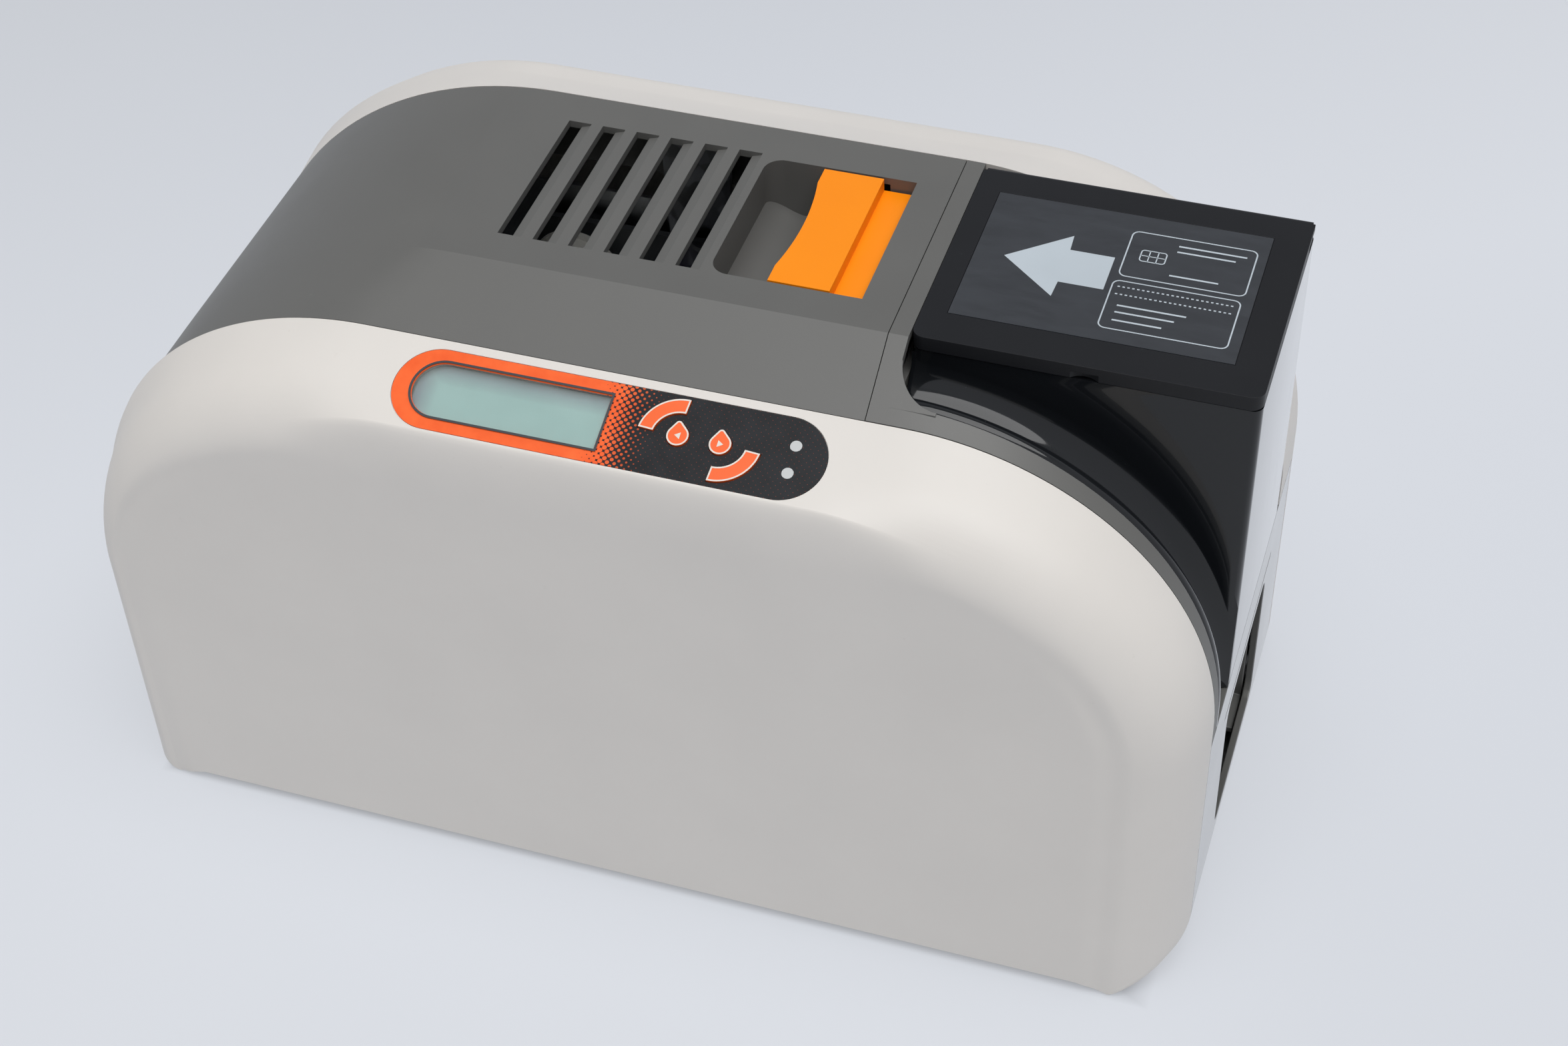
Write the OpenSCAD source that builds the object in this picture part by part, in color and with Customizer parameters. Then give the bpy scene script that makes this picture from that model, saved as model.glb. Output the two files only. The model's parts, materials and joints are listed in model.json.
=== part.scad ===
// Desktop ID card printer with a hinged top cover, a lift-out card cassette and a sloping key panel.
// X runs along the case towards the cassette end, Y away from the key panel, Z up from the table.
// The origin is the centre of the footprint at table level.

/* [Case] */
// Length over the side covers
body_l = 382; // [370:1:400]
// Width over the shoulders of the side covers
body_w = 204; // [200:1:212]
// Height of the flat top above the table
body_h = 226; // [222:1:234]
// Width between the two seams of the side covers
core_w = 139; // [137:1:142]
// Width of the flat on top
flat_w = 89; // [88:0.5:90]
// Drop from the flat top to the seams
seam_drop = 13.8; // [12:0.2:15]
// Radius of the seam over the cassette end
front_r = 100; // [94:1:104]
// Radius of the side covers over the rear end
rear_r = 109; // [104:1:112]
// Radius of the grey crown over the rear end
crown_r = 125; // [120:1:128]
// How far the grey rear stands back from the side covers
rear_step = 4; // [3:0.5:6]
// Wall of the moulded covers
wall = 2.5; // [2:0.1:3]
// Gap between neighbouring covers
seam_gap = 0.3; // [0.2:0.05:0.5]
// Height of the side covers' lower edge between their feet
skirt_h = 4.3; // [3.6:0.1:5]

/* [Side covers] */
// Slope of the shoulder that carries the key panel
shoulder_tilt = 20; // [18:0.5:22]
// Draft of the side walls
side_draft = 1.4; // [0.8:0.1:2]
// Rounding of the ends in plan
end_round = 26; // [22:1:28]
// Rounding of the lower front corners
foot_round = 18; // [14:1:20]

/* [Top cover] */
// Distance from the cassette end back to the top cover's front edge
bay_l = 112; // [110:0.5:114]
// Width of the fixed bridge between top cover and lid
bridge_w = 6.2; // [5.6:0.1:7]
// Depth of the top cover's skirt
skirt_d = 10; // [8:0.5:12]
// Radius of the hinge barrel
barrel_r = 9; // [8:0.5:9]
// Height of the hinge axis
hinge_z = 108; // [106:1:110]
// Radius of the hinge, latch and striker pins
pin_r = 2; // [1.6:0.1:2.4]
// Running clearance of pins and shafts
run_gap = 0.05; // [0.02:0.01:0.09]

/* [Vents] */
// Number of louvred slots
vent_n = 6; // [4:1:6]
// Pitch of the slots
vent_pitch = 11.8; // [10.5:0.1:12]
// Open width of a slot
vent_w = 4.2; // [3.4:0.1:4.8]
// Length of a slot
vent_l = 61.8; // [50:0.2:66]
// From the first slot's rear edge to the finger well's
vent_gap = 69.5; // [68:0.5:75]

/* [Latch] */
// From the finger well's rear edge to the seam before the cassette
well_gap = 61.5; // [59:0.5:63]
// Length of the latch opening
well_l = 49.4; // [48:0.2:52]
// Width of the latch opening
well_w = 60; // [54:0.5:62]
// Depth of the finger well
well_d = 21; // [18:0.5:22]
// Length of the raised finger pad
pad_l = 21; // [19:0.5:23]
// Drop from the pad to the latch's lower ledge
ledge_drop = 4.5; // [4:0.1:5]

/* [Cassette] */
// Width of the cassette box
box_w = 86.8; // [85:0.2:87]
// Thickness of the lid with its rim
lid_h = 5.1; // [4.6:0.1:6]
// Length of a card
card_l = 85.6; // [85:0.1:86]
// Width of a card
card_w = 54; // [53:0.1:55]
// Thickness of a card
card_t = 0.8; // [0.7:0.02:0.9]
// Height of the card path
path_z = 108; // [106:0.5:109]

/* [Key panel] */
// Length of the panel overlay
panel_l = 138.3; // [136:0.1:140]
// Width of the panel overlay
panel_w = 27.6; // [26:0.1:28]
// Distance from the seam to the panel's middle line
panel_d = 16.9; // [16.5:0.1:17.2]
// Place of the panel's middle along the case
panel_x = 3; // [-4:0.5:8]
// Height of the display window
window_h = 18.4; // [16:0.2:20]
// Travel of a key
key_travel = 0.8; // [0.4:0.1:1]
// Clearance round a key
key_gap = 0.3; // [0.2:0.05:0.4]

/* [Transport] */
// Radius of the platen roller
platen_r = 8; // [7.5:0.1:8.4]
// Radius of the feed rollers
feed_r = 7; // [6:0.1:7.4]
// Radius of the pinch rollers
pinch_r = 5; // [4.4:0.1:5.6]
// Radius of every roller shaft
shaft_r = 3; // [2.6:0.1:3.2]
// Distance between the steel side plates
plate_in = 113; // [111:0.5:115]
// Thickness of the steel side plates
plate_t = 1.5; // [1.2:0.1:2]
// Teeth on the motor pinion
pinion_n = 14; // [14:1:16]
// Teeth on the platen gear
platen_n = 42; // [40:1:44]
// Module of the gears
gear_m = 0.8; // [0.7:0.05:0.85]
// Slope of the exit chute
chute_tilt = 13; // [12:0.5:14]

/* [Hidden] */

beige = "#d9d5cf";
grey = "#6f706e";
orange = "#ff9632";
gloss = "#16181b";
steel = "#b4b8bc";
dark = "#2a2c2e";
eps = 0.01;
big = 600;

// Case outline, all from the driving sizes
x_f = body_l/2;
x_r = -body_l/2;
y_s = core_w/2;
y_f = flat_w/2;
z_t = body_h;
z_s = body_h - seam_drop;
x_b = x_r + rear_step;
z_w = z_s - 24;
x_c = x_f - bay_l;
x_k = x_c + bridge_w;
well_x = x_c - well_gap;
vent_x = well_x - vent_gap;
grey_r = rear_r - rear_step;
facet_k = seam_drop/(y_s - y_f);
cover_d = body_w/2 - y_s;
cover_z0 = 0.8;
lip_z = path_z - 4.6;
y_core = y_s - seam_gap;
y_far = y_f - seam_gap;

// Places of the moving pieces
hinge_x = x_b + barrel_r;
latch_x = well_x + well_l - 4.4;
latch_z = z_t - ledge_drop - 3.9;
striker_z = z_t - 22.8;
hook_z = striker_z - pin_r - 0.2;
well_y = -1.5;
pad_x = well_x + well_l - pad_l - 10.6;
lid_r = 2.5;
lid_pin_r = 1;
lid_y = y_f - 0.6 - lid_r;
lid_z = z_t - lid_r;
box_x = x_k + 0.6;
box_y0 = lid_y + lid_r - box_w - 0.3;
box_y1 = lid_y + lid_r - 0.3;
box_z1 = z_t - lid_h - 0.4;
box_l = x_f - box_x;
card_x = box_x + 5.2;
card_y = (box_y0 + box_y1)/2;
plate_y = plate_in/2;
feed_x = x_c - 19;
platen_x = feed_x - 70;
rear_x = platen_x - 65;
exit_x = x_c + 33;
pickup_x = x_f - 23;
exit_r = 6;
bin_x = x_f - 65;
pickup_r = 9;
chute_x = x_c + 5;
chute_z = path_z - 11;
exit_z = chute_z - (exit_x - chute_x)*tan(chute_tilt) - exit_r/cos(chute_tilt) - 0.6;
pulley_k = 7/8;
pinion_a = -60;
gear_c = gear_m*(pinion_n + platen_n)/2 + 0.12;
platen_z = path_z - platen_r;
motor_x = platen_x + gear_c*cos(pinion_a);
motor_z = platen_z + gear_c*sin(pinion_a);
supply_x = platen_x - 52;
takeup_x = platen_x + 54;
spool_z = path_z + 42;
supply_x0 = platen_x - 30;
board_x0 = x_b + 10;
board_x1 = supply_x0 - 20;
foot_in_x = 33;
foot_in_y = 17.2;

// Points along an ellipse about (cx, cz), from angle a0 to a1
function arc(cx, cz, rx, rz, a0, a1, n) =
    [for (i = [0:n]) let (a = a0 + (a1 - a0)*i/n) [cx + rx*cos(a), cz + rz*sin(a)]];

// Side outline of the case: flat top at zt, rear end xr with radius rr, front end xf with radius rf,
// all drawn in by e at the ends and by t at the top, its rear end leaning in by g towards the top;
// the front foot's radius c shrinks where the end draws in
function outline(xr, xf, zt, rr, rf, e, t, z0, c, n, top = [], g = 0) =
    let (k = max(0.6, min(c, c + 3 - e))) concat(
    arc(xf - rf, zt - rf, rf - e, rf - t, 0, 90, n), top,
    arc(xr + rr, zt - rr, rr - e - g, rr - t, 90, 180, n),
    arc(xr + e + c/6, z0 + c/6, c/6, c/6, 180, 270, 3),
    arc(xf - e - k, z0 + k, k, k, 270, 360, 5));

// A flat XZ outline placed at y, leaning by the angle a about the shoulder's widest line
function ring(pts, y, a = 0) = [for (p = pts) [p[0], y - (p[1] - z_w)*sin(a), z_w + (p[1] - z_w)*cos(a)]];

// Solid through a row of rings with equal point counts, the first ring at the largest y
module loft(rings) {
    n = len(rings[0]);
    m = len(rings);
    polyhedron([for (r = rings) each r], concat([[for (j = [0:n - 1]) j]],
        [for (i = [0:m - 2], j = [0:n - 1]) [i*n + (j + 1)%n, i*n + j, (i + 1)*n + j]],
        [for (i = [0:m - 2], j = [0:n - 1]) [i*n + (j + 1)%n, (i + 1)*n + j, (i + 1)*n + (j + 1)%n]],
        [[for (j = [n - 1:-1:0]) (m - 1)*n + j]]));
}

// An XZ outline extruded from y0 to y1
module along_y(y0, y1) translate([0, y1, 0]) rotate([90, 0, 0]) linear_extrude(y1 - y0) children();

// A YZ outline extruded from x0 to x1
module along_x(x0, x1) translate([x0, 0, 0]) rotate([90, 0, 90]) linear_extrude(x1 - x0) children();

// A round rod along Y, and one along X
module rod_y(x, z, r, y0, y1) translate([x, y1, z]) rotate([90, 0, 0]) cylinder(r = r, h = y1 - y0, $fn = 48);
module rod_x(y, z, r, x0, x1) translate([x0, y, z]) rotate([0, 90, 0]) cylinder(r = r, h = x1 - x0, $fn = 48);

module block(x0, x1, y0, y1, z0, z1) translate([x0, y0, z0]) cube([x1 - x0, y1 - y0, z1 - z0]);

// A rectangle with round corners, as true arcs
module soft_square(w, h, r) {
    translate([r, 0]) square([w - 2*r, h]);
    translate([0, r]) square([w, h - 2*r]);
    for (x = [r, w - r], y = [r, h - r]) translate([x, y]) circle(r, $fn = 40);
}

// A stadium centred on the origin
module stadium(l, w) {
    translate([-(l - w)/2, -w/2]) square([l - w, w]);
    for (s = [-1, 1]) translate([s*(l - w)/2, 0]) circle(w/2, $fn = 64);
}

// Everything in the arched core below a surface that lies d inside the seams
module core_2d(d) {
    rr = rear_r - d;
    rf = front_r - d;
    top = z_s - d;
    xr = x_r + d;
    xf = x_f - d;
    intersection() {
        union() {
            translate([xr + rr, 0]) square([xf - rf - xr - rr, top]);
            translate([xr + rr, top - rr]) circle(rr, $fn = 120);
            translate([xf - rf, top - rf]) circle(rf, $fn = 120);
            translate([xr, 0]) square([rr, top - rr]);
            translate([xf - rf, 0]) square([rf, top - rf]);
        }
        translate([xr, 0]) square([xf - xr, top + 1]);
    }
}

// Local frame on the near shoulder: x along the case, y up the slope, z out of the surface
module on_shoulder() translate([0, -y_s, z_s]) rotate([shoulder_tilt, 0, 0]) children();
module on_panel(z0, z1) on_shoulder() translate([panel_x, -panel_d, z0]) linear_extrude(z1 - z0) children();

/* Side covers */

rear_lean = 2.5;
near_u = 0.5;
near_t = 17;
far_u = 0.364;
far_t = 22;
pad_u = 0.895;
pad_t = 21.5;
pad_xs = [x_f - front_r - 4, x_f - front_r - 8, x_f - front_r - 12, x_f - front_r - 18,
    x_r + rear_r + 13, x_r + rear_r + 9, x_r + rear_r + 6, x_r + rear_r + 3];

function smooth(a) = let (b = max(0, min(1, a))) b*b*(3 - 2*b);

// Share of the flat seat of the key panel in the shoulder at x
function pad_share(x) = smooth((x - x_r - rear_r)/13)*smooth((x_f - front_r - x)/18);

// Depth of a rounding that starts at the share u0 of the cover's depth and is h deep at its edge
function round_off(u, u0, h) = let (q = max(0, (u - u0)/(1 - u0))) h*(1 - sqrt(max(0, 1 - q*q)));

cover_u = [0, 0.4, 0.55, 0.68, 0.79, 0.87, 0.92, 0.955, 0.98, 0.994, 1];
inner_u = [0.02, 0.5, 0.66, 0.8, 0.9, 0.96, 0.99, 1];

// Ring of a side cover at the share u of its depth, w inside its outer skin; s is 1 on the far side
function cover_ring(s, u, w) = let (e = end_round*(1 - sqrt(1 - u*u)) + w,
        d = u*cover_d + (24 - u*cover_d*tan(shoulder_tilt))*sin(side_draft*u),
        t0 = d*tan(shoulder_tilt) + w/cos(shoulder_tilt),
        t1 = s > 0 ? round_off(u, far_u, far_t) : round_off(u, near_u, near_t),
        t2 = round_off(u, pad_u, pad_t),
        top = s > 0 ? [] : [for (x = pad_xs) [x, z_s - t0 - t1 - (t2 - t1)*pad_share(x)]])
    ring(outline(x_r, x_f, z_s, rear_r, front_r, e, t0 + t1, w > 0 ? -20 : cover_z0, foot_round, 15, top,
            rear_lean*smooth(u/0.4)),
        s*(y_s + u*cover_d - (u > 0.5 ? w : 0)), -s*side_draft*u);

module side_loft(s, rings) loft(s > 0 ? [for (i = [len(rings) - 1:-1:0]) rings[i]] : rings);

// Shell of a side cover, open towards the core and below; extra rings lead in front of it
module cover_shell(s, outer, inner) {
    difference() {
        side_loft(s, concat(outer, [for (u = cover_u) cover_ring(s, u, 0)]));
        side_loft(s, concat(inner, [for (u = inner_u) cover_ring(s, u, wall)]));
        skirt_cut();
    }
    for (x = [x_r + 60, x_f - 60]) difference() {
        rod_y(x, 30, 5, s > 0 ? y_s : 5.6 - body_w/2, s > 0 ? body_w/2 - 5.6 : -y_s);
        rod_y(x, 30, 1.3, s > 0 ? y_s - 1 : -y_s - 14, s > 0 ? y_s + 14 : -y_s + 1);
    }
}

// Long relief under a side cover that leaves two feet
module skirt_cut() along_y(-big, big)
    polygon([[x_r + 15, -1], [x_r + 15, cover_z0], [x_r + 26, skirt_h], [x_f - 32, skirt_h],
             [x_f - 21, cover_z0], [x_f - 21, -1]]);

module near_side_cover() color(beige) difference() {
    cover_shell(-1, [], [ring(outline(x_r, x_f, z_s, rear_r, front_r, wall, wall, -20, foot_round, 15,
        [for (x = pad_xs) [x, z_s - wall]]), 1 - y_s)]);
    on_panel(-0.5, 4) stadium(panel_l + 0.4, panel_w + 0.4);
    on_panel(-9, 0) window_2d(0.8);
    on_panel(-9, 0) for (k = [0:3]) key_2d(k, 1.1);
    on_panel(-9, 0) for (s = [1, -1]) translate(led_at(s)) circle(2.2, $fn = 32);
    on_panel(-7.3, -3.5) display_2d(0.1);
    on_panel(-8.1, -5.9) keypad_2d(0.3);
}

// The far cover also carries the shoulder strip up to the flat top
module far_side_cover() color(beige) difference() {
    cover_shell(1, [strip_ring(y_f, 0)], [strip_ring(y_f - 1, wall), strip_ring(y_f + 1, wall)]);
    block(-big, big, y_f - 5, y_s, -50, lip_z);
}

function strip_ring(y, w) = ring(outline(x_b, x_f, z_t, crown_r, front_r + 12, w, w, w > 0 ? -20 : cover_z0,
    foot_round, 15), y);

/* Top cover */

// Rear arch of the grey core, w inside its skin, cut off at the front edge x1
function crown_pts(zt, rr, w, x1) = concat([[x1, hinge_z - 14], [x1, zt - w]],
    arc(x_b + rr, zt - rr, rr - w, rr - w, 90, 180, 26), [[x_b + w, hinge_z - 14]]);

module crown_solid(w, x1) loft([ring(crown_pts(z_t, crown_r, w, x1), y_far - w),
    ring(crown_pts(z_t, crown_r, w, x1), -y_f + (w > 0 ? 0.6 : 0)),
    ring(crown_pts(z_s, grey_r, w*1.1, x1), -y_core + w)]);

// What lies deeper than the skirt under the top cover
module belly(d) along_y(-big, big) {
    translate([x_b + grey_r, 0]) square([x_c + 1 - x_b - grey_r, z_s - d]);
    intersection() {
        translate([x_b + grey_r, z_s - grey_r]) circle(grey_r - d, $fn = 120);
        translate([x_b, z_s - grey_r]) square([grey_r + 1, grey_r]);
    }
    translate([x_b + d, 0]) square([grey_r, z_s - grey_r + eps]);
}

module top_cover() color(grey) {
    difference() {
        crown_solid(0, x_c - seam_gap/2);
        crown_solid(wall, x_c - seam_gap/2 - wall);
        belly(skirt_d);
        block(-big, big, -big, big, 0, hinge_z);
        for (i = [0:vent_n - 1]) louvre(vent_x + i*vent_pitch);
        latch_opening(0);
        block(x_c - 8, x_c + 1, well_y - 16, well_y + 16, z_s - skirt_d - 5, z_s - 2);
        hinge_gaps();
        rod_y(hinge_x, hinge_z, barrel_r - wall, -big, big);
    }
    barrel();
    finger_well();
    latch_ears();
    for (y = [-30, 0, 30]) difference() {
        block(x_b + 60, vent_x - 8, y - 0.8, y + 0.8, z_t - wall - 7, z_t - wall + 0.4);
        belly_over();
    }
}

// Keeps the ribs under the crown's arch
module belly_over() along_y(-big, big) difference() {
    translate([x_b - 20, z_t - crown_r]) square([crown_r + 20, crown_r + 10]);
    translate([x_b + crown_r, z_t - crown_r]) circle(crown_r - wall + 0.4, $fn = 120);
}

// A slot with its sloping louvre
module louvre(x) {
    block(x, x + vent_w, well_y + 0.8 - vent_l/2, well_y + 0.8 + vent_l/2, z_t - 8, z_t + 1);
    along_y(well_y + 0.8 - vent_l/2, well_y + 0.8 + vent_l/2)
        polygon([[x + vent_w - eps, z_t + 1], [x + vent_w - eps, z_t - 1.8], [x + vent_w + 3.6, z_t - 0.7],
                 [x + vent_w + 3.6, z_t + 1]]);
}

module well_2d(w) translate([well_x - w, well_y - well_w/2 - w]) {
    soft_square(well_l + 2*w, well_w + 2*w, 6);
    translate([20, 0]) square([well_l + 2*w - 20, well_w + 2*w]);
}

module latch_opening(w) translate([0, 0, z_t - 12]) linear_extrude(14) well_2d(w);

// Deep cup under the rear half of the opening, with a curved floor
module finger_well() difference() {
    translate([0, 0, z_t - well_d - 2]) linear_extrude(well_d + 2 - wall + 0.1)
        intersection() {
            well_2d(2);
            translate([well_x - 3, -big]) square([31, 2*big]);
        }
    intersection() {
        translate([0, 0, z_t - well_d]) linear_extrude(well_d + 4) intersection() {
            well_2d(0);
            translate([well_x, -big]) square([26, 2*big]);
        }
        rod_y(well_x + 15, z_t - well_d + 19, 19.4, -big, big);
    }
    block(well_x + 20, well_x + 40, well_y - well_w/2, well_y + well_w/2, z_t - 10, z_t);
    translate([0, 0, z_t - 12]) linear_extrude(14) intersection() {
        well_2d(0);
        translate([well_x, -big]) square([26, 2*big]);
    }
}

// Two ears that carry the latch pin
module latch_ears() for (s = [-1, 1]) difference() {
    y0 = well_y + s*(well_w/2 + 1.8) - 1.8;
    union() {
        rod_y(latch_x, latch_z, pin_r + 2.4, y0, y0 + 3.6);
        block(latch_x - pin_r - 2.4, latch_x + pin_r + 2.4, y0, y0 + 3.6, latch_z, z_t - wall + 0.1);
    }
    rod_y(latch_x, latch_z, pin_r, -big, big);
}

/* Hinge */

hinge_ys = [-48, 28];
ear_w = 8;

module hinge_gaps() for (y = hinge_ys)
    rod_y(hinge_x, hinge_z, barrel_r + 0.6, y - ear_w/2 - 0.4, y + ear_w/2 + 0.4);

// Hollow bullnose along the rear edge, closed by a boss on each side of both ears
module barrel() difference() {
    union() {
        difference() {
            rod_y(hinge_x, hinge_z, barrel_r, -y_core, y_far);
            rod_y(hinge_x, hinge_z, barrel_r - wall, -y_core + wall, y_far - wall);
            block(hinge_x, hinge_x + 20, -big, big, hinge_z - 20, hinge_z + 20);
        }
        for (y = hinge_ys, s = [-1, 1])
            rod_y(hinge_x, hinge_z, barrel_r - 1, min(y + s*4.4, y + s*12.4), max(y + s*4.4, y + s*12.4));
    }
    for (y = hinge_ys) rod_y(hinge_x, hinge_z, pin_r + run_gap, y - 11, y + 11);
    hinge_gaps();
}

// Steel bracket across the rear with two ears inside the barrel's gaps
module hinge_bracket() color(steel) {
    difference() {
        for (y = hinge_ys) along_y(y - ear_w/2, y + ear_w/2) {
            translate([hinge_x, hinge_z]) circle(6, $fn = 48);
            polygon([[hinge_x - 3, hinge_z - 5.2], [hinge_x + 5.2, hinge_z + 3], [hinge_x + 20, hinge_z - 12],
                     [hinge_x + 20, hinge_z - 23], [hinge_x + 16, hinge_z - 23]]);
        }
        for (y = hinge_ys) rod_y(hinge_x, hinge_z, pin_r, y - 20, y + 20);
    }
    block(hinge_x + 18, hinge_x + 20, -plate_y, plate_y, 34, hinge_z - 12);
    for (s = [-1, 1]) block(hinge_x + 20, rear_x - 40, s > 0 ? plate_y - 2 : -plate_y,
        s > 0 ? plate_y : 2 - plate_y, 40, hinge_z - 20);
}

module hinge_pins() color(steel) for (y = hinge_ys) rod_y(hinge_x, hinge_z, pin_r, y - 10.5, y + 10.5);

/* Release latch */

module release_latch() color(orange) difference() {
    y0 = well_y - well_w/2 + 0.8;
    y1 = well_y + well_w/2 - 0.8;
    x1 = well_x + well_l - 1.3;
    union() {
        along_y(y0, y1) polygon([[pad_x, z_t - 3.4], [pad_x + 1.2, z_t], [pad_x + pad_l, z_t],
            [pad_x + pad_l, z_t - ledge_drop], [x1, z_t - ledge_drop], [x1, z_t - ledge_drop - 2.4],
            [pad_x + pad_l - 2.4, z_t - ledge_drop - 2.4], [pad_x + pad_l - 3, z_t - 4]]);
        rod_y(latch_x, latch_z, pin_r + 1.6, y0, y1);
        along_y(well_y - 8, well_y + 8) polygon([[latch_x - 3.4, latch_z], [latch_x + 3.4, latch_z],
            [latch_x + 3.4, hook_z + 2], [latch_x + 5, hook_z], [x_c - 2.4, hook_z],
            [x_c - 1.7, hook_z - 0.8],
            [x_c - 2, hook_z - 2.4], [latch_x + 3, hook_z - 6.4], [latch_x - 2, hook_z - 6.4],
            [latch_x - 3.4, hook_z - 4]]);
    }
    rod_y(latch_x, latch_z, pin_r + run_gap, -big, big);
    rod_y(latch_x, latch_z, pin_r + 1.35, well_y + 9, well_y + 15);
    translate([pad_x + 3.4 - 107, well_y, z_t - 12]) cylinder(r = 107, h = 20, $fn = 180);
}

module latch_pin() color(steel)
    rod_y(latch_x, latch_z, pin_r, well_y - well_w/2 - 3.6, well_y + well_w/2 + 3.6);

// Torsion spring beside the hook arm
module latch_spring() color(steel) for (i = [0:4])
    translate([latch_x, well_y + 9.8 + i*1.1, latch_z]) rotate([90, 0, 0])
        rotate_extrude($fn = 32) translate([pin_r + 0.7, 0]) circle(0.4, $fn = 16);

// Bar between two lugs that the hook catches under
module striker() color(steel) {
    rod_y(x_c - 5, striker_z, pin_r, well_y - 13, well_y + 13);
    for (s = [-1, 1]) block(x_c - 5 - pin_r, x_k - wall, well_y + s*12 - 1, well_y + s*12 + 1,
        striker_z - 3, striker_z + 3);
    block(x_k - wall - 1.2, x_k - wall, well_y - 13, well_y + 13, striker_z - 6, striker_z + 6);
}

/* Front frame: bridge, bay and arch strip */

module front_frame() color(grey) {
    bridge();
    difference() {
        along_y(-y_core, -y_core + wall) bay_wall_2d();
        rod_y(x_c + 6, lip_z + 8, 1.3, -big, big);
    }
    arch_strip();
    bay_corner();
    difference() {
        block(x_k - wall, x_k, -y_core + wall, y_f - seam_gap - 0.1, lip_z - 3, z_s - 1);
        block(x_k - 10, x_k + 10, card_y - card_w/2 - 2, card_y + card_w/2 + 2, path_z - 2, path_z + 4);
    }
    bay_floor();
    for (s = [-1, 1]) difference() {
        block(pickup_x - 7, pickup_x + 7, s*27 - 1.5, s*27 + 1.5, path_z - pickup_r - 8, lip_z - 0.3);
        rod_y(pickup_x, path_z - pickup_r, shaft_r + run_gap, -big, big);
    }
}

module bay_wall_2d() intersection() {
    core_2d(0);
    union() {
        translate([x_c + seam_gap, lip_z - 3]) square([x_f - 3 - x_c, big]);
        translate([x_c + seam_gap, lip_z]) square([x_f - 0.7 - x_c, big]);
    }
}

// Strip that closes the case between the top cover and the lid, with the facet on its near side
module bridge_2d(x0, x1) along_x(x0, x1)
    polygon([[-y_core, lip_z - 2], [-y_core, z_s + 0.16], [-y_f, z_t], [y_far, z_t], [y_far, lip_z - 2]]);

module bridge() along_x(x_c + seam_gap/2, x_k) difference() {
    polygon([[-y_core, lip_z], [-y_core, z_s + 0.16], [-y_f, z_t], [y_far, z_t], [y_far, z_t - 14],
             [-y_f, z_t - 14], [-y_core + 3, z_s - 14], [-y_core + 3, lip_z]]);
    polygon([[-y_core + wall + 3, z_s - 20], [-y_core + wall + 3, z_s - 1], [-y_f + 1.2, z_t - wall],
             [y_far - wall, z_t - wall], [y_far - wall, z_t - 20]]);
}

// Sloping strip along the arch beside the cassette's gutter
module arch_strip() intersection() {
    difference() {
        loft([for (k = [1, 0])
            ring(outline(x_r, x_f, z_s + 0.16 + 3.1*k, rear_r, front_r + 0.16 + 3.1*k, 0, 0, 0,
            foot_round, 30), -y_core + k*(y_core - y_s + 6))]);
        along_y(-big, big) core_2d(3);
    }
    block(x_k, x_f + 1, -y_core - 1, -y_s + 7, lip_z, big);
}

// Fills the bay's corner in front of the gutter's round end
module bay_corner() intersection() {
    bridge_2d(x_k - 0.5, x_k + gut_round);
    difference() {
        block(x_k - 0.5, x_k + gut_round, gut_y - 1.3, gut_y + gut_round - 2, lip_z - 0.8, big);
        translate([box_x + gut_round, gut_y + gut_round, 0]) cylinder(r = gut_round + 0.5, h = big, $fn = 72);
    }
}

module bay_floor() difference() {
    block(x_k - wall, x_f - 3, -y_core + wall, plate_y + plate_t, lip_z - 2.8, lip_z - 0.3);
    block(pickup_x - 12, pickup_x + 12, -23, 23, lip_z - 5, lip_z + 5);
    block(pickup_x - 4, pickup_x + 4, -32, 32, lip_z - 5, lip_z + 5);
    block(x_k + 14, x_k + 44, -22, 22, lip_z - 5, lip_z + 5);
}

/* Lower front, rear and base */

// Curved front plate with the card mouth; its lower edge rolls under like the side covers' feet
module front_bezel() color(grey) difference() {
    union() {
        along_y(-y_core, y_core) difference() {
            bezel_2d(0);
            bezel_2d(wall);
            translate([-big, -1]) square([big + x_f - 22, big]);
        }
        for (s = [-1, 1]) along_y(s > 0 ? y_core - 2 : -y_core, s > 0 ? y_core : 2 - y_core) intersection() {
            bezel_2d(0);
            translate([x_f - 12, 0]) square([12, lip_z - 3.4]);
        }
    }
    along_x(x_f - 20, x_f + 1) translate([-33, 22]) soft_square(66, 58, 6);
    block(x_f - 0.8, x_f + 1, -40, 40, 84, 85);
}

module bezel_2d(w) translate([0, cover_z0 + w]) {
    translate([0, foot_round - w])
        square([x_f - w, lip_z - 0.6 - cover_z0 - foot_round + (w > 0 ? w + 1 : 0)]);
    square([x_f - foot_round, foot_round]);
    translate([x_f - foot_round, foot_round - w]) circle(foot_round - w, $fn = 80);
}

module rear_panel() color(grey) difference() {
    union() {
        block(x_b, x_b + wall, -y_core, y_core, skirt_h - 0.8, hinge_z - 7.9);
        for (s = [-1, 1]) block(x_b, x_b + 9, s > 0 ? y_core - 2 : -y_core, s > 0 ? y_core : 2 - y_core,
            skirt_h - 0.8, hinge_z - 12);
    }
    fan_grille();
    block(x_b - 1, x_b + 5, 23.8, 52.2, 21.8, 46.2);
    block(x_b - 1, x_b + 5, 24, 37, 57, 79);
    block(x_b - 1, x_b + 5, 43.7, 56.3, 57.7, 69.3);
}

fan_y = -22;
fan_z = 62;
fan_x = x_b + wall + 0.2;

// Ring of vent slots in front of the fan
module fan_grille() for (i = [-4:4])
    block(x_b - 1, x_b + 5, fan_y - sqrt(760 - pow(i*6, 2)), fan_y + sqrt(760 - pow(i*6, 2)),
        fan_z + i*6 - 1.6, fan_z + i*6 + 1.6);

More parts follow.
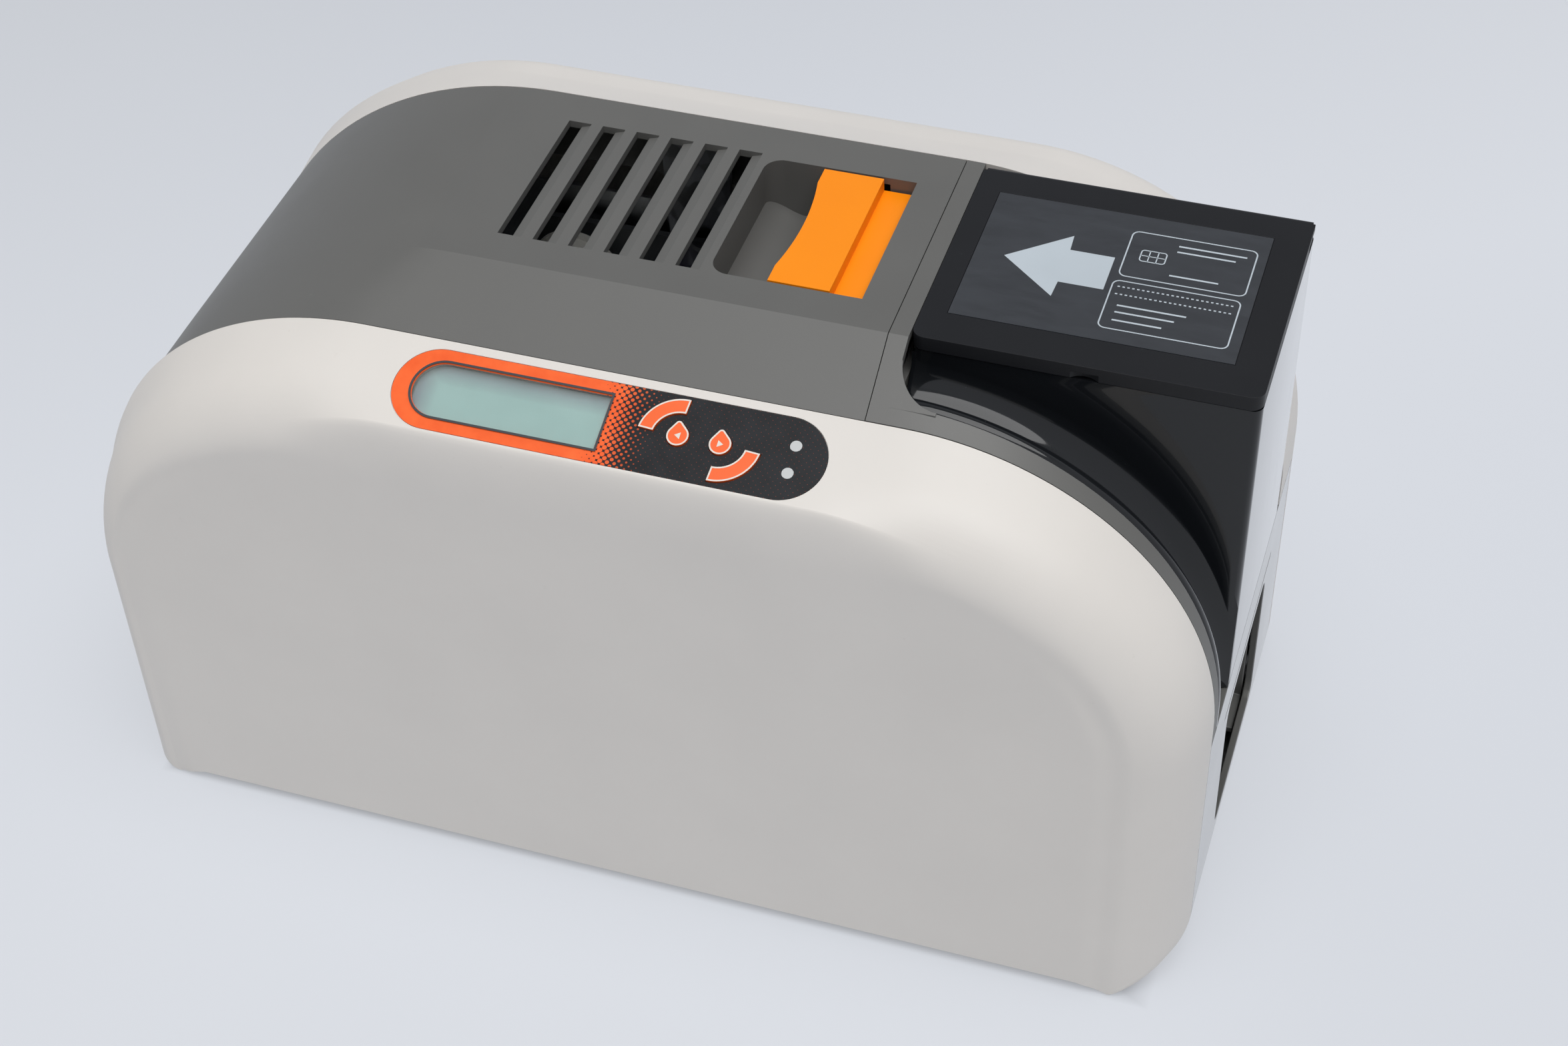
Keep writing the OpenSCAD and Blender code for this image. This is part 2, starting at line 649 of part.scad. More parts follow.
pan_x1 = x_f - foot_round - 1;

module base_pan() color(dark) {
    difference() {
        block(x_b + 3, pan_x1, -y_core + 3, y_core - 3, 3.5, 6);
        for (x = [-150, -90, 90, 150], i = [-3:3]) block(x - 1.6, x + 1.6, i*13 - 5, i*13 + 5, 2, 8);
    }
    for (s = [-1, 1]) block(x_b + 3, pan_x1, s > 0 ? y_core - 5 : 3 - y_core, s > 0 ? y_core - 3 : 5 - y_core,
        3.5, 14);
    for (x = [rear_x - 20, feed_x + 10], s = [-1, 1])
        block(x - 8, x + 8, s > 0 ? plate_y - 10 : -plate_y - plate_t,
            s > 0 ? plate_y + plate_t : 10 - plate_y, 6, 10);
    for (x = [board_x0 + 8, board_x1 - 10], y = [-8, 42]) translate([x, y, 6])
        cylinder(r = 3, h = 10, $fn = 32);
}

module rubber_feet() color("#202020")
for (x = [x_r + foot_in_x, x_f - foot_in_x], s = [-1, 1]) translate([x, s*(y_core - foot_in_y), 0]) {
    cylinder(r1 = 9, r2 = 10, h = 1, $fn = 48);
    translate([0, 0, 1]) cylinder(r = 10, h = 2.5, $fn = 48);
}

// Pan head screws that hold the rear panel and the side plates
module case_screws() color(steel) {
    for (y = [-62, 62], z = [16, 88]) difference() {
        rod_x(y, z, 3, x_b - 1.8, x_b);
        block(x_b - 2, x_b - 1, y - 2.4, y + 2.4, z - 0.4, z + 0.4);
        block(x_b - 2, x_b - 1, y - 0.4, y + 0.4, z - 2.4, z + 2.4);
    }
}

/* Card cassette */

gut_x = x_f - front_r - 3.5;
gut_z = z_s - front_r;
gut_r = front_r + 3.5;
gut_y = -y_s + 6.3;
gut_round = 14;

// Cross section of the finger gutter: a round lip, a deep valley and a sweep up the box wall
function gutter_pts() = let (y0 = box_y0 + 0.4, yv = gut_y + 10) concat(
    [[gut_r - 16, y0], [gut_r + 3.5, y0]],
    [for (b = [10:10:90]) [gut_r + 3.5 - 13*sin(b), yv + (y0 - yv)*cos(b)]],
    [for (b = [15:15:90]) [gut_r - 3.5 - 6*cos(b), yv - 4.6*sin(b)]],
    [for (b = [30:20:150]) [gut_r - 2.6 + 2.6*sin(b), gut_y + 2.8 + 2.8*cos(b)]],
    [[gut_r - 3, gut_y], [gut_r - 16, gut_y]]);

module gutter() intersection() {
    union() {
        translate([gut_x, 0, gut_z]) rotate([90, 0, 0]) mirror([0, 0, 1])
            rotate_extrude(angle = 90, $fn = 180)
            polygon(gutter_pts());
        translate([box_x, 0, gut_z]) rotate([90, 0, 90]) linear_extrude(gut_x - box_x)
            polygon([for (p = gutter_pts()) [p[1], p[0]]]);
        translate([gut_x, 0, lip_z]) linear_extrude(gut_z - lip_z) polygon(gutter_pts());
    }
    translate([box_x, gut_y, lip_z]) linear_extrude(big) union() {
        translate([gut_round, 0]) square([box_l - gut_round, 60]);
        translate([0, gut_round]) square([30, 60]);
        translate([gut_round, gut_round]) circle(gut_round, $fn = 72);
    }
}

module cassette_body() color(gloss) difference() {
    union() {
        translate([box_x, box_y0, lip_z]) linear_extrude(box_z1 - lip_z) soft_square(box_l, box_w, 3);
        gutter();
        lid_ears();
    }
    block(card_x, card_x + card_l + 1.4, card_y - card_w/2 - 0.7, card_y + card_w/2 + 0.7, path_z, z_t);
    for (s = [-1, 1], i = [0:2]) block(card_x + i*30, card_x + i*30 + 27,
        s > 0 ? card_y + card_w/2 + 3 : box_y0 + wall, s > 0 ? box_y1 - wall - 3 : card_y - card_w/2 - 3,
        lip_z + 8, z_t);
    block(box_x - 1, card_x + 1, card_y - card_w/2 - 0.7, card_y + card_w/2 + 0.7,
        path_z - 0.01, path_z + 1.6);
    block(pickup_x - 11, pickup_x + 11, card_y - 21, card_y + 21, lip_z - 1, path_z + 1);
    block(card_x + card_l + 5, x_f - 3, card_y - 30, card_y + 30, lip_z + 8, z_t);
    rod_x(lid_y, lid_z, lid_pin_r, box_x + 1, x_f - 1);
}

lid_ear_x = [box_x + 16, x_f - 22];

module lid_ears() for (x = lid_ear_x) along_x(x, x + 5) {
    translate([lid_y, lid_z]) circle(1.7, $fn = 40);
    translate([lid_y - 1.7, box_z1 - 1]) square([3.4, lid_z - box_z1 + 1]);
}

module cassette_lid() color(dark) difference() {
    union() {
        difference() {
            translate([box_x - 0.4, box_y0 - 0.4, z_t - lid_h]) linear_extrude(lid_h)
                intersection() {
                    soft_square(box_l + 0.4, 90, 4);
                    square([box_l + 1, lid_y - box_y0 + 0.4]);
                }
            translate([box_x + 1.8, box_y0 + 1.8, z_t - lid_h - 1]) linear_extrude(lid_h - 1.4)
                soft_square(box_l - 4, 90, 2);
            block(box_x - 1, x_f + 1, lid_y - 9, lid_y + 9, z_t - lid_h - 1, z_t - 2.4);
        }
        rod_x(lid_y, lid_z, lid_r, box_x + 0.6, x_f - 0.8);
    }
    for (x = lid_ear_x) block(x - 0.4, x + 5.4, lid_y - 3.2, lid_y + 3.2, z_t - lid_h - 1, z_t - 0.5);
    rod_x(lid_y, lid_z, lid_pin_r + run_gap, box_x + 1, x_f - 1);
    translate([box_x + 7.4, card_y - 31, z_t - 0.3]) cube([87, 62, 1]);
    translate([box_x + box_l/2, box_y0 - 5.2, z_t - lid_h - 1]) cylinder(r = 6.4, h = 3.4, $fn = 48);
}

module lid_hinge_pins() color(steel) for (x = lid_ear_x) rod_x(lid_y, lid_z, lid_pin_r, x - 6, x + 11);

module lid_label() color("#34373b")
    translate([box_x + 7.6, card_y - 30.8, z_t - 0.3]) cube([86.6, 61.6, 0.3]);

// Loose plate that presses the cards down on to the pickup roller
module card_weight() color(dark) {
    difference() {
        block(card_x + 0.5, card_x + card_l + 0.9, card_y - card_w/2 - 0.2, card_y + card_w/2 + 0.2,
            path_z + 0.2, path_z + 3);
        for (i = [0:3]) block(card_x + 10 + i*18, card_x + 20 + i*18, card_y + 8, card_y + 20,
            path_z, path_z + 4);
    }
    for (y = [-14, 14]) block(card_x + 24, card_x + 64, card_y + y - 1, card_y + y + 1,
        path_z + 2.9, path_z + 12);
    block(card_x + 38, card_x + 50, card_y - 14, card_y + 14, path_z + 9, path_z + 11);
}

/* Key panel, drawn in the plane of the shoulder */

window_x0 = -62.7;
window_x1 = -0.9;
function led_at(s) = [58.5, s*4.6];
key_at = [[22.8, -0.1], [22.8, 0.3], [36.2, 0.2], [36.2, 0.5]];

// Display window: round at its left end and square at its right
module window_2d(g) {
    translate([window_x0 + window_h/2, -window_h/2 - g])
        square([window_x1 + g - window_x0 - window_h/2, window_h + 2*g]);
    translate([window_x0 + window_h/2, 0]) circle(window_h/2 + g, $fn = 64);
}

// A drop-shaped key: a disc with a rounded tip towards its upper end
module drop_2d(r, g) rotate(9) {
    tip = 1.1 + g;
    l = 1.1*r;
    b = asin((r + g - tip)/l);
    polygon(concat(arc(0, 0, r + g, r + g, 180 - b, 360 + b, 28), arc(0, l, tip, tip, b, 180 - b, 10)));
}

// A key bent round its neighbour, from angle a0 to a1
module arc_key_2d(r0, r1, a0, a1, g) intersection() {
    difference() {
        circle(r1 + g, $fn = 64);
        circle(r0 - g, $fn = 64);
    }
    rotate(a0) translate([0, -g]) square([r1 + 5, r1 + 5]);
    rotate(a1) translate([0, g]) mirror([0, 1]) square([r1 + 5, r1 + 5]);
}

module key_2d(k, g) translate(key_at[k]) {
    if (k == 0) arc_key_2d(7.9, 12.7, 87, 176, g);
    if (k == 1 || k == 2) drop_2d(3.4, g);
    if (k == 3) arc_key_2d(7.9, 12.7, -93, -4, g);
}

module key(k) color("#ff6a2c") {
    on_panel(-3.6, 0.6) key_2d(k, 0);
    on_panel(-4.6, -3.6) key_2d(k, 0.7);
}

module key_back() key(0);
module key_left() key(1);
module key_right() key(2);
module key_enter() key(3);

module panel_overlay() color("#33373c") on_panel(-0.45, 0) difference() {
    stadium(panel_l, panel_w);
    window_2d(0);
    for (k = [0:3]) key_2d(k, key_gap);
    for (s = [1, -1]) translate(led_at(s)) circle(1.9, $fn = 32);
}

module display_lens() color("#9fc2bd", 0.5) on_panel(-2.2, -1.2) window_2d(0.5);
module display_2d(g) translate([window_x0 - 0.5 - g, -window_h/2 - 1 - g])
    square([window_x1 - window_x0 + 2 + 2*g, window_h + 2 + 2*g]);
module keypad_2d(g) translate([4 - g, -12 - g]) square([58.8 + 2*g, 24 + 2*g]);

module display_module() color("#3d5a50") on_panel(-7.2, -3.6) display_2d(0);
module indicator_lenses() color("#f2f4f5") on_panel(-6.2, 0.15)
    for (s = [1, -1]) translate(led_at(s)) circle(1.8, $fn = 32);

module keypad_board() color("#1f5a35") difference() {
    on_panel(-7.8, -6.2) keypad_2d(0);
    on_panel(-9, -5) for (x = [6.5, 60.5], y = [-9, 9]) translate([x, y]) circle(0.9, $fn = 24);
}

/* Chassis and card transport */

// Outline of a steel side plate: tall round the print station, low under the cassette
module plate_2d() difference() {
    polygon([[rear_x - 42, 10], [rear_x - 42, 150], [rear_x - 26, 178], [takeup_x + 26, 178],
             [feed_x + 16, 165], [feed_x + 16, lip_z - 3.1], [exit_x + 60, lip_z - 3.1],
             [exit_x + 60, 84], [exit_x + 14, 64], [feed_x + 24, 50], [feed_x + 24, 10]]);
    for (p = shafts()) translate(p) circle(shaft_r + 1, $fn = 32);
    translate([rear_x - 4, 34]) soft_square(44, 34, 6);
    translate([feed_x - 42, 30]) soft_square(44, 28, 6);
    for (x = [supply_x, takeup_x]) translate([x, spool_z]) circle(4.5, $fn = 32);
}

function shafts() = [[platen_x, platen_z], [feed_x, path_z - feed_r], [rear_x, path_z - feed_r],
    [exit_x, exit_z]];

module near_side_plate() color(steel) along_y(-plate_y - plate_t, -plate_y) plate_2d();
module far_side_plate() color(steel) along_y(plate_y, plate_y + plate_t) plate_2d();

module cross_braces() color(steel)
for (p = [[rear_x - 34, 132], [rear_x - 36, 30], [feed_x + 14, 24], [feed_x + 9, 158]])
    rod_y(p[0], p[1], 4, -plate_y, plate_y);

// Lower card guide between the plates, with windows for the rollers and a rail along each edge
module card_track() color(dark) difference() {
    union() {
        block(rear_x - 30, x_k - wall - 1, -plate_y, plate_y, path_z - 3, path_z - 0.6);
        for (s = [-1, 1], e = [[rear_x - 30, platen_x - 21], [platen_x + 21, x_k - wall - 1]])
            block(e[0], e[1], card_y + s*(card_w/2 + 2.4) - 1.8, card_y + s*(card_w/2 + 2.4) + 1.8,
                path_z - 0.7, path_z + 2.6);
    }
    for (p = shafts(), s = [-1, 1]) rod_y(p[0], p[1], shaft_r + 2.4, s > 0 ? plate_y - 1.4 : -plate_y - 1,
        s > 0 ? plate_y + 1 : 1.4 - plate_y);
    for (p = [[platen_x, platen_r + 3], [feed_x, feed_r + 3], [rear_x, feed_r + 3], [feed_x - 25, 6]])
        block(p[0] - p[1], p[0] + p[1], -47, 47, path_z - 6, path_z + 6);
    for (i = [0:5]) block(rear_x + 14 + i*7, rear_x + 17 + i*7, -20, 20, path_z - 6, path_z + 1);
}

// Flanged bushes in both plates
module shaft_bushes() color("#c9a96a") for (p = shafts(), s = [-1, 1]) difference() {
    union() {
        rod_y(p[0], p[1], shaft_r + 1, s > 0 ? plate_y : -plate_y - plate_t,
            s > 0 ? plate_y + plate_t : -plate_y);
        rod_y(p[0], p[1], shaft_r + 2, s > 0 ? plate_y - 1 : -plate_y, s > 0 ? plate_y : 1 - plate_y);
    }
    rod_y(p[0], p[1], shaft_r + run_gap, -big, big);
}

// Rubber roller on a steel shaft, with its pulley outside the far plate
module roller(x, z, r, len) {
    color("#3a3a3c") difference() {
        rod_y(x, z, r, -len/2, len/2);
        rod_y(x, z, shaft_r, -len, len);
    }
    color(steel) rod_y(x, z, shaft_r, -plate_y - plate_t - 0.8, plate_y + plate_t + 8);
    color("#e8e4da") difference() {
        union() {
            rod_y(x, z, r*pulley_k, plate_y + plate_t + 1, plate_y + plate_t + 7);
            rod_y(x, z, r*pulley_k + 1.2, plate_y + plate_t + 1, plate_y + plate_t + 1.6);
            rod_y(x, z, r*pulley_k + 1.2, plate_y + plate_t + 6.4, plate_y + plate_t + 7);
        }
        rod_y(x, z, shaft_r, -big, big);
    }
}

module platen_roller() {
    roller(platen_x, platen_z, platen_r, 60);
    color(steel) rod_y(platen_x, platen_z, shaft_r, -plate_y - plate_t - 8, -plate_y - plate_t);
}
module feed_roller() roller(feed_x, path_z - feed_r, feed_r, 60);
module rear_roller() roller(rear_x, path_z - feed_r, feed_r, 60);
module exit_roller() roller(exit_x, exit_z, exit_r, 60);

module pickup_roller() {
    color("#3a3a3c") difference() {
        rod_y(pickup_x, path_z - pickup_r, pickup_r - 0.1, -11, 11);
        rod_y(pickup_x, path_z - pickup_r, shaft_r, -20, 20);
    }
    color(steel) rod_y(pickup_x, path_z - pickup_r, shaft_r, -31, 31);
}

// Spring-loaded idlers over the driven rollers
module pinch_rollers() color("#d9d9d6") for (p = [[feed_x, path_z], [rear_x, path_z]]) {
    rod_y(p[0], p[1] + card_t + pinch_r + 0.1, pinch_r, -26, 26);
    rod_y(p[0], p[1] + card_t + pinch_r + 0.1, 1.8, -plate_y, plate_y);
}

module cleaning_roller() color("#e9eef2") {
    rod_y(feed_x - 25, path_z + card_t + 6.1, 6, -27, 27);
    rod_y(feed_x - 25, path_z + card_t + 6.1, 1.8, -plate_y, plate_y);
}

belt_y = plate_y + plate_t + 1.8;

module belt_path(w) hull() for (p = [[rear_x, path_z - feed_r, feed_r], [platen_x, platen_z, platen_r],
        [feed_x, path_z - feed_r, feed_r], [exit_x, exit_z, exit_r]])
    translate([p[0], p[1]]) circle(p[2]*pulley_k + w, $fn = 32);

module timing_belt() color("#1c1c1e") along_y(belt_y, belt_y + 4.4) difference() {
    belt_path(1.4);
    belt_path(0.2);
}

/* Drive */

// Spur gear outline: straight-sided teeth with a clear root
module gear_2d(n, turn) {
    rp = gear_m*n/2;
    ra = rp + 0.9*gear_m;
    rd = rp - 1.15*gear_m;
    at = 360/n;
    polygon([for (i = [0:n - 1],
        k = [[rd, -0.31], [rp, -0.225], [ra, -0.11], [ra, 0.11], [rp, 0.225], [rd, 0.31]])
        [k[0]*cos(turn + at*(i + k[1])), k[0]*sin(turn + at*(i + k[1]))]]);
}

gear_y = -plate_y - plate_t - 7;
motor_y = gear_y - 3.4;
motor_gap = 9.1;
motor_l = body_w/2 - wall - motor_gap + motor_y;

module platen_gear() color("#e8e4da") difference() {
    union() {
        along_y(gear_y, gear_y + 5) translate([platen_x, platen_z]) gear_2d(platen_n, pinion_a);
        rod_y(platen_x, platen_z, shaft_r + 3, gear_y - 0.6, gear_y + 6.4);
    }
    rod_y(platen_x, platen_z, shaft_r, -big, big);
    for (a = [0:60:300]) rod_y(platen_x + 10.5*cos(a), platen_z + 10.5*sin(a), 3, gear_y - 1, gear_y + 6);
}

module motor_pinion() color("#c9a96a") difference() {
    along_y(gear_y - 0.8, gear_y + 5.4) translate([motor_x, motor_z])
        gear_2d(pinion_n, pinion_a + 180 + 180/pinion_n);
    rod_y(motor_x, motor_z, 2, -big, big);
}

// Square stepper motor with chamfered corners
module drive_motor() color("#3c3f43") {
    difference() {
        along_y(motor_y - motor_l, motor_y) translate([motor_x, motor_z]) intersection() {
            square(38, center = true);
            rotate(45) square(48, center = true);
        }
        for (sx = [-1, 1], sz = [-1, 1])
            rod_y(motor_x + sx*15.5, motor_z + sz*15.5, 1.25, motor_y - 5, motor_y + 1);
    }
}

module motor_bracket() color(steel) {
    difference() {
        along_y(motor_y, motor_y + 1.5) translate([motor_x - 19, motor_z - 26]) soft_square(38, 46, 4);
        rod_y(motor_x, motor_z, 9, -big, big);
    }
    for (sx = [-1, 1]) rod_y(motor_x + sx*14, motor_z - 22.5, 2.4, motor_y + 1.5, -plate_y - plate_t);
    for (sx = [-1, 1])
        rod_y(motor_x + sx*15.5, motor_z + 15.5 - (sx < 0 ? 31 : 0), 1.2, motor_y - 4, motor_y);
}

/* Print station */

module print_head() color("#d8dadc") {
    block(platen_x - 9, platen_x + 9, -34, 34, path_z + 4, path_z + 10);
    block(platen_x - 3, platen_x + 3, -30, 30, path_z + card_t + 0.6, path_z + 4.1);
    for (i = [0:5]) block(platen_x - 8.6 + i*3.2, platen_x - 7.4 + i*3.2, -34, 34, path_z + 9.9, path_z + 26);
}

// Steel yoke that hangs the head from the top cover
module head_carrier() color(steel) difference() {
    union() {
        for (s = [-1, 1]) along_y(s > 0 ? 34 : -36, s > 0 ? 36 : -34) polygon([[platen_x - 9, path_z + 5],
            [platen_x + 9, path_z + 5], [platen_x + 12, z_t - wall], [platen_x - 12, z_t - wall]]);
        block(platen_x - 12, platen_x + 12, -36, 36, path_z + 26.2, path_z + 28);
    }
    for (z = [path_z + 50, path_z + 75]) rod_y(platen_x, z, 6, -big, big);
}

module ribbon_frame() color("#4a4d50") difference() {
    union() {
        for (s = [-1, 1]) along_y(s > 0 ? 50 : -52.4, s > 0 ? 52.4 : -50) {
            translate([supply_x - 22, spool_z - 20]) soft_square(takeup_x - supply_x + 40, 38, 12);
        }
        for (x = [supply_x - 20, takeup_x + 14]) block(x - 2, x + 2, -50.1, 50.1, spool_z - 6, spool_z + 6);
        for (x = [supply_x + 25, takeup_x - 25], s = [-1, 1])
            block(x - 5, x + 5, s > 0 ? 52.3 : -plate_y, s > 0 ? plate_y : -52.3, spool_z - 4, spool_z + 4);
    }
    for (x = [supply_x, takeup_x]) rod_y(x, spool_z, 4.5 + run_gap, -big, big);
}

module spool(x, r) {
    color("#f0efe9") difference() {
        union() {
            rod_y(x, spool_z, 4.5, -54.4, 54.4);
            for (s = [-1, 1]) rod_y(x, spool_z, r + 1.4, s > 0 ? 44 : -46, s > 0 ? 46 : -44);
        }
        rod_y(x, spool_z, 2.6, -60, 60);
    }
    color("#222a4a") difference() {
        rod_y(x, spool_z, r, -44, 44);
        rod_y(x, spool_z, 4.5, -60, 60);
    }
}

module supply_spool() spool(supply_x, 15);
module takeup_spool() spool(takeup_x, 9);

// Web from the supply roll under the head to the take-up roll
module ribbon_film() color("#3a2f55") along_y(-32, 32) {
    zf = path_z + card_t + 0.25;
    polygon([[supply_x + 2, spool_z - 15.4], [supply_x + 2, spool_z - 15.6], [platen_x - 14, zf],
             [platen_x + 14, zf], [takeup_x - 2, spool_z - 9.6], [takeup_x - 2, spool_z - 9.4],
             [platen_x + 13.8, zf + 0.2], [platen_x - 13.8, zf + 0.2]]);
}

/* Exit */

module exit_chute() color(dark) difference() {
    translate([chute_x, 0, chute_z]) rotate([0, chute_tilt, 0]) {
        cl = (bin_x - 1 - chute_x)/cos(chute_tilt);
        block(0, cl, -31, 31, -2.2, -0.6);
        for (s = [-1, 1]) block(0, cl, s > 0 ? 29 : -31, s > 0 ? 31 : -29, -1, 2.6);
        for (x = [4, cl - 8]) block(x, x + 4, -plate_y, plate_y, -3.4, -2);
    }
    block(exit_x - exit_r - 3, exit_x + exit_r + 3, -30.6, 30.6, exit_z - 10, exit_z + exit_r + 4);
}

module output_bin() color(grey) difference() {
    along_y(-34.5, 34.5) polygon([[bin_x, 26], [x_f - wall - 0.6, 16], [x_f - wall - 0.6, 68], [bin_x, 68]]);
    along_y(-32.5, 32.5) polygon([[bin_x + 2, 28], [x_f, 18], [x_f, 90], [bin_x + 2, 90]]);
    translate([x_f - 2, 0, 5]) cylinder(r = 16, h = 40, $fn = 64);
}

/* Rear electrics */

module fan_frame() color(dark) difference() {
    along_x(fan_x, fan_x + 14) translate([fan_y - 30, fan_z - 30]) soft_square(60, 60, 4);
    rod_x(fan_y, fan_z, 28.4, x_b, fan_x + 11.4);
    for (a = [0:3]) translate([x_b, fan_y, fan_z]) rotate([45 + 90*a, 0, 0])
        translate([0, 9, -7]) cube([30, 17, 14]);
    rod_x(fan_y, fan_z, 1.6 + run_gap, x_b, x_b + 18);
}

// Hub with seven blades set along its axis, turning on a short axle
module fan_rotor() color("#1e1f21") {
    x0 = fan_x + 0.8;
    rod_x(fan_y, fan_z, 11, x0, x0 + 9.8);
    rod_x(fan_y, fan_z, 1.6, x0 + 9.8, x0 + 12.8);
    for (i = [0:6]) translate([x0 + 4.7, fan_y, fan_z]) rotate([i*360/7, 0, 0]) translate([0, 0, 18.6])
        rotate([0, 0, 38]) cube([1.4, 11, 16], center = true);
}

module main_board() color("#1f5a35") {
    block(board_x0, board_x1, -14, 50, 16, 17.6);
    for (x = [board_x1 - 90, board_x1 - 68, board_x1 - 46]) block(x, x + 14, 6, 20, 17.5, 19.4);
    for (x = [board_x0 + 21, board_x1 - 24], y = [-8, 30]) translate([x, y, 17.5])
        cylinder(r = 4, h = 11, $fn = 32);
    block(board_x1 - 26, board_x1 - 12, 36, 46, 17.5, 27);
}

module power_supply() color(steel) difference() {
    block(supply_x0, supply_x0 + 102, -50, 4, 6, 44);
    for (i = [0:9]) block(supply_x0 + 6 + i*9, supply_x0 + 10 + i*9, -40, -6, 42, 46);
}

// Mains inlet and data port, flush in the rear panel
module rear_sockets() color("#1a1a1c") {
    difference() {
        block(x_b - 0.6, x_b + 22, 24, 52, 22, 46);
        block(x_b - 2, x_b + 14, 27, 49, 26, 42);
    }
    for (y = [33, 38, 43]) block(x_b + 4, x_b + 15, y - 1, y + 1, 31, 37);
    difference() {
        block(x_b - 0.4, x_b + 16, 44, 56, 58, 69);
        block(x_b - 2, x_b + 9, 45.8, 54.2, 59.6, 67.4);
    }
    block(x_b, x_b + 9.4, 47.5, 52.5, 62.2, 64.8);
    difference() {
        block(x_b + wall + 0.2, x_b + 16, 23, 38, 56, 80);
        block(x_b + 2, x_b + 13, 25, 36, 58, 78);
    }
}

rocker_z = 68;

module power_rocker() color("#1a1a1c") intersection() {
    block(x_b - 3, x_b + 9, 25.6, 35.4, rocker_z - 9.6, rocker_z + 9.6);
    difference() {
        rod_y(x_b + 3, rocker_z, 9.4, 25.6, 35.4);
        rod_y(x_b - 15, rocker_z + 3, 13.4, 20, 40);
    }
}

near_side_cover();
far_side_cover();
top_cover();
front_frame();
front_bezel();
rear_panel();
base_pan();
rubber_feet();
case_screws();
hinge_bracket();
hinge_pins();
release_latch();
latch_pin();
latch_spring();
striker();
cassette_body();
cassette_lid();
lid_hinge_pins();
lid_label();
card_weight();
panel_overlay();
display_module();
display_lens();
indicator_lenses();
keypad_board();
key_back();
key_left();
key_right();
key_enter();
near_side_plate();
far_side_plate();
cross_braces();
card_track();
shaft_bushes();
platen_roller();
platen_gear();
feed_roller();
rear_roller();
exit_roller();
pickup_roller();
pinch_rollers();
cleaning_roller();
timing_belt();
drive_motor();
motor_bracket();
motor_pinion();
print_head();
head_carrier();
ribbon_frame();
supply_spool();
takeup_spool();
ribbon_film();
exit_chute();
output_bin();
fan_frame();
fan_rotor();
main_board();
power_supply();
rear_sockets();
power_rocker();
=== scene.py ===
"""Desktop card printer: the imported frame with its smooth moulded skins, printed details and finishes,
its lamps and its camera."""

import json
import math

import bmesh
import bpy
import numpy as np
from mathutils import Matrix


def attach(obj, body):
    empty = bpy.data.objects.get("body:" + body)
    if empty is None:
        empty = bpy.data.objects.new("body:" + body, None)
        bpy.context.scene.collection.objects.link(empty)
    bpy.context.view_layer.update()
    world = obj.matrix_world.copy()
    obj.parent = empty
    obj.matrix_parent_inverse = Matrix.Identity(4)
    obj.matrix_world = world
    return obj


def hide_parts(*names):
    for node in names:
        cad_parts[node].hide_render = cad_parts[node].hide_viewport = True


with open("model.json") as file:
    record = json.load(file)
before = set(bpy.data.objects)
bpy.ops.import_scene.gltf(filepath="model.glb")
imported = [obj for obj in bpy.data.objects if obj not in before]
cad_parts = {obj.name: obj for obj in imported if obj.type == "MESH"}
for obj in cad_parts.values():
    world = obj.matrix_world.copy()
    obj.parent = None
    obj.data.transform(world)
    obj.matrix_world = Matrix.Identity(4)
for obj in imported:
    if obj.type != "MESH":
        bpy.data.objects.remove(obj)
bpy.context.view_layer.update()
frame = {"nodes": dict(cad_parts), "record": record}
MM = 0.001

# ---------------------------------------------------------------- sizes, in mm, as in the part's source
CASE_L, CASE_W, CASE_H = 382.0, 204.0, 226.0
CORE_W, FLAT_W, SEAM_DROP = 139.0, 89.0, 13.8
FRONT_R, REAR_R, CROWN_R, REAR_STEP = 100.0, 109.0, 125.0, 4.0
# Depth of the crease in the near wall, how far in from the wall's edge it lies, and its half width
CREASE, CREASE_IN, CREASE_HALF = 0.8, 25.0, 6.5
# Share of a cover's depth at which its rounding starts, and how far the rounding falls
NEAR_ROUND, FAR_ROUND, PAD_ROUND = (0.5, 17.0), (0.364, 22.0), (0.895, 21.5)
# The key pad's fuller shoulder fades over these lengths, starting this far beyond the arcs' ends
PAD_REAR_OUT, PAD_REAR_FADE, PAD_FRONT_OUT, PAD_FRONT_FADE = 24.0, 40.0, 26.0, 46.0
WALL, SKIRT_Z, FOOT_Z = 2.5, 4.3, 0.8
TILT, DRAFT, END_ROUND, NEAR_REAR_ROUND, FOOT_R = 20.0, 1.4, 26.0, 15.0, 18.0
X_F, X_R, X_B = CASE_L / 2, -CASE_L / 2, -CASE_L / 2 + REAR_STEP
Y_S, Y_F = CORE_W / 2, FLAT_W / 2
Z_T, Z_S = CASE_H, CASE_H - SEAM_DROP
Z_W = Z_S - 24
COVER_D = CASE_W / 2 - Y_S
PATH_Z = 108.0
LIP_Z = PATH_Z - 4.6
PANEL_X, PANEL_D, PANEL_L, PANEL_W = 3.0, 16.9, 138.3, 27.6
# Heights of the printed rims and marks over the panel's plane
DISPLAY_RIM_H, KEY_RIM_H, KEY_MARK_H = 0.42, 0.62, 0.63
# Faces that meet above these angles stay sharp: on the lofted covers, and on the finished nodes
COVER_SHARP, NODE_SHARP = 28.0, 24.0


# ---------------------------------------------------------------- colours and shader nodes
def linear(code):
    """sRGB hex to linear RGBA: c/12.92 below 0.04045, else ((c + 0.055)/1.055) to the power 2.4."""
    c = [int(code[i:i + 2], 16) / 255 for i in (1, 3, 5)]
    return [x / 12.92 if x <= 0.04045 else ((x + 0.055) / 1.055) ** 2.4 for x in c] + [1.0]


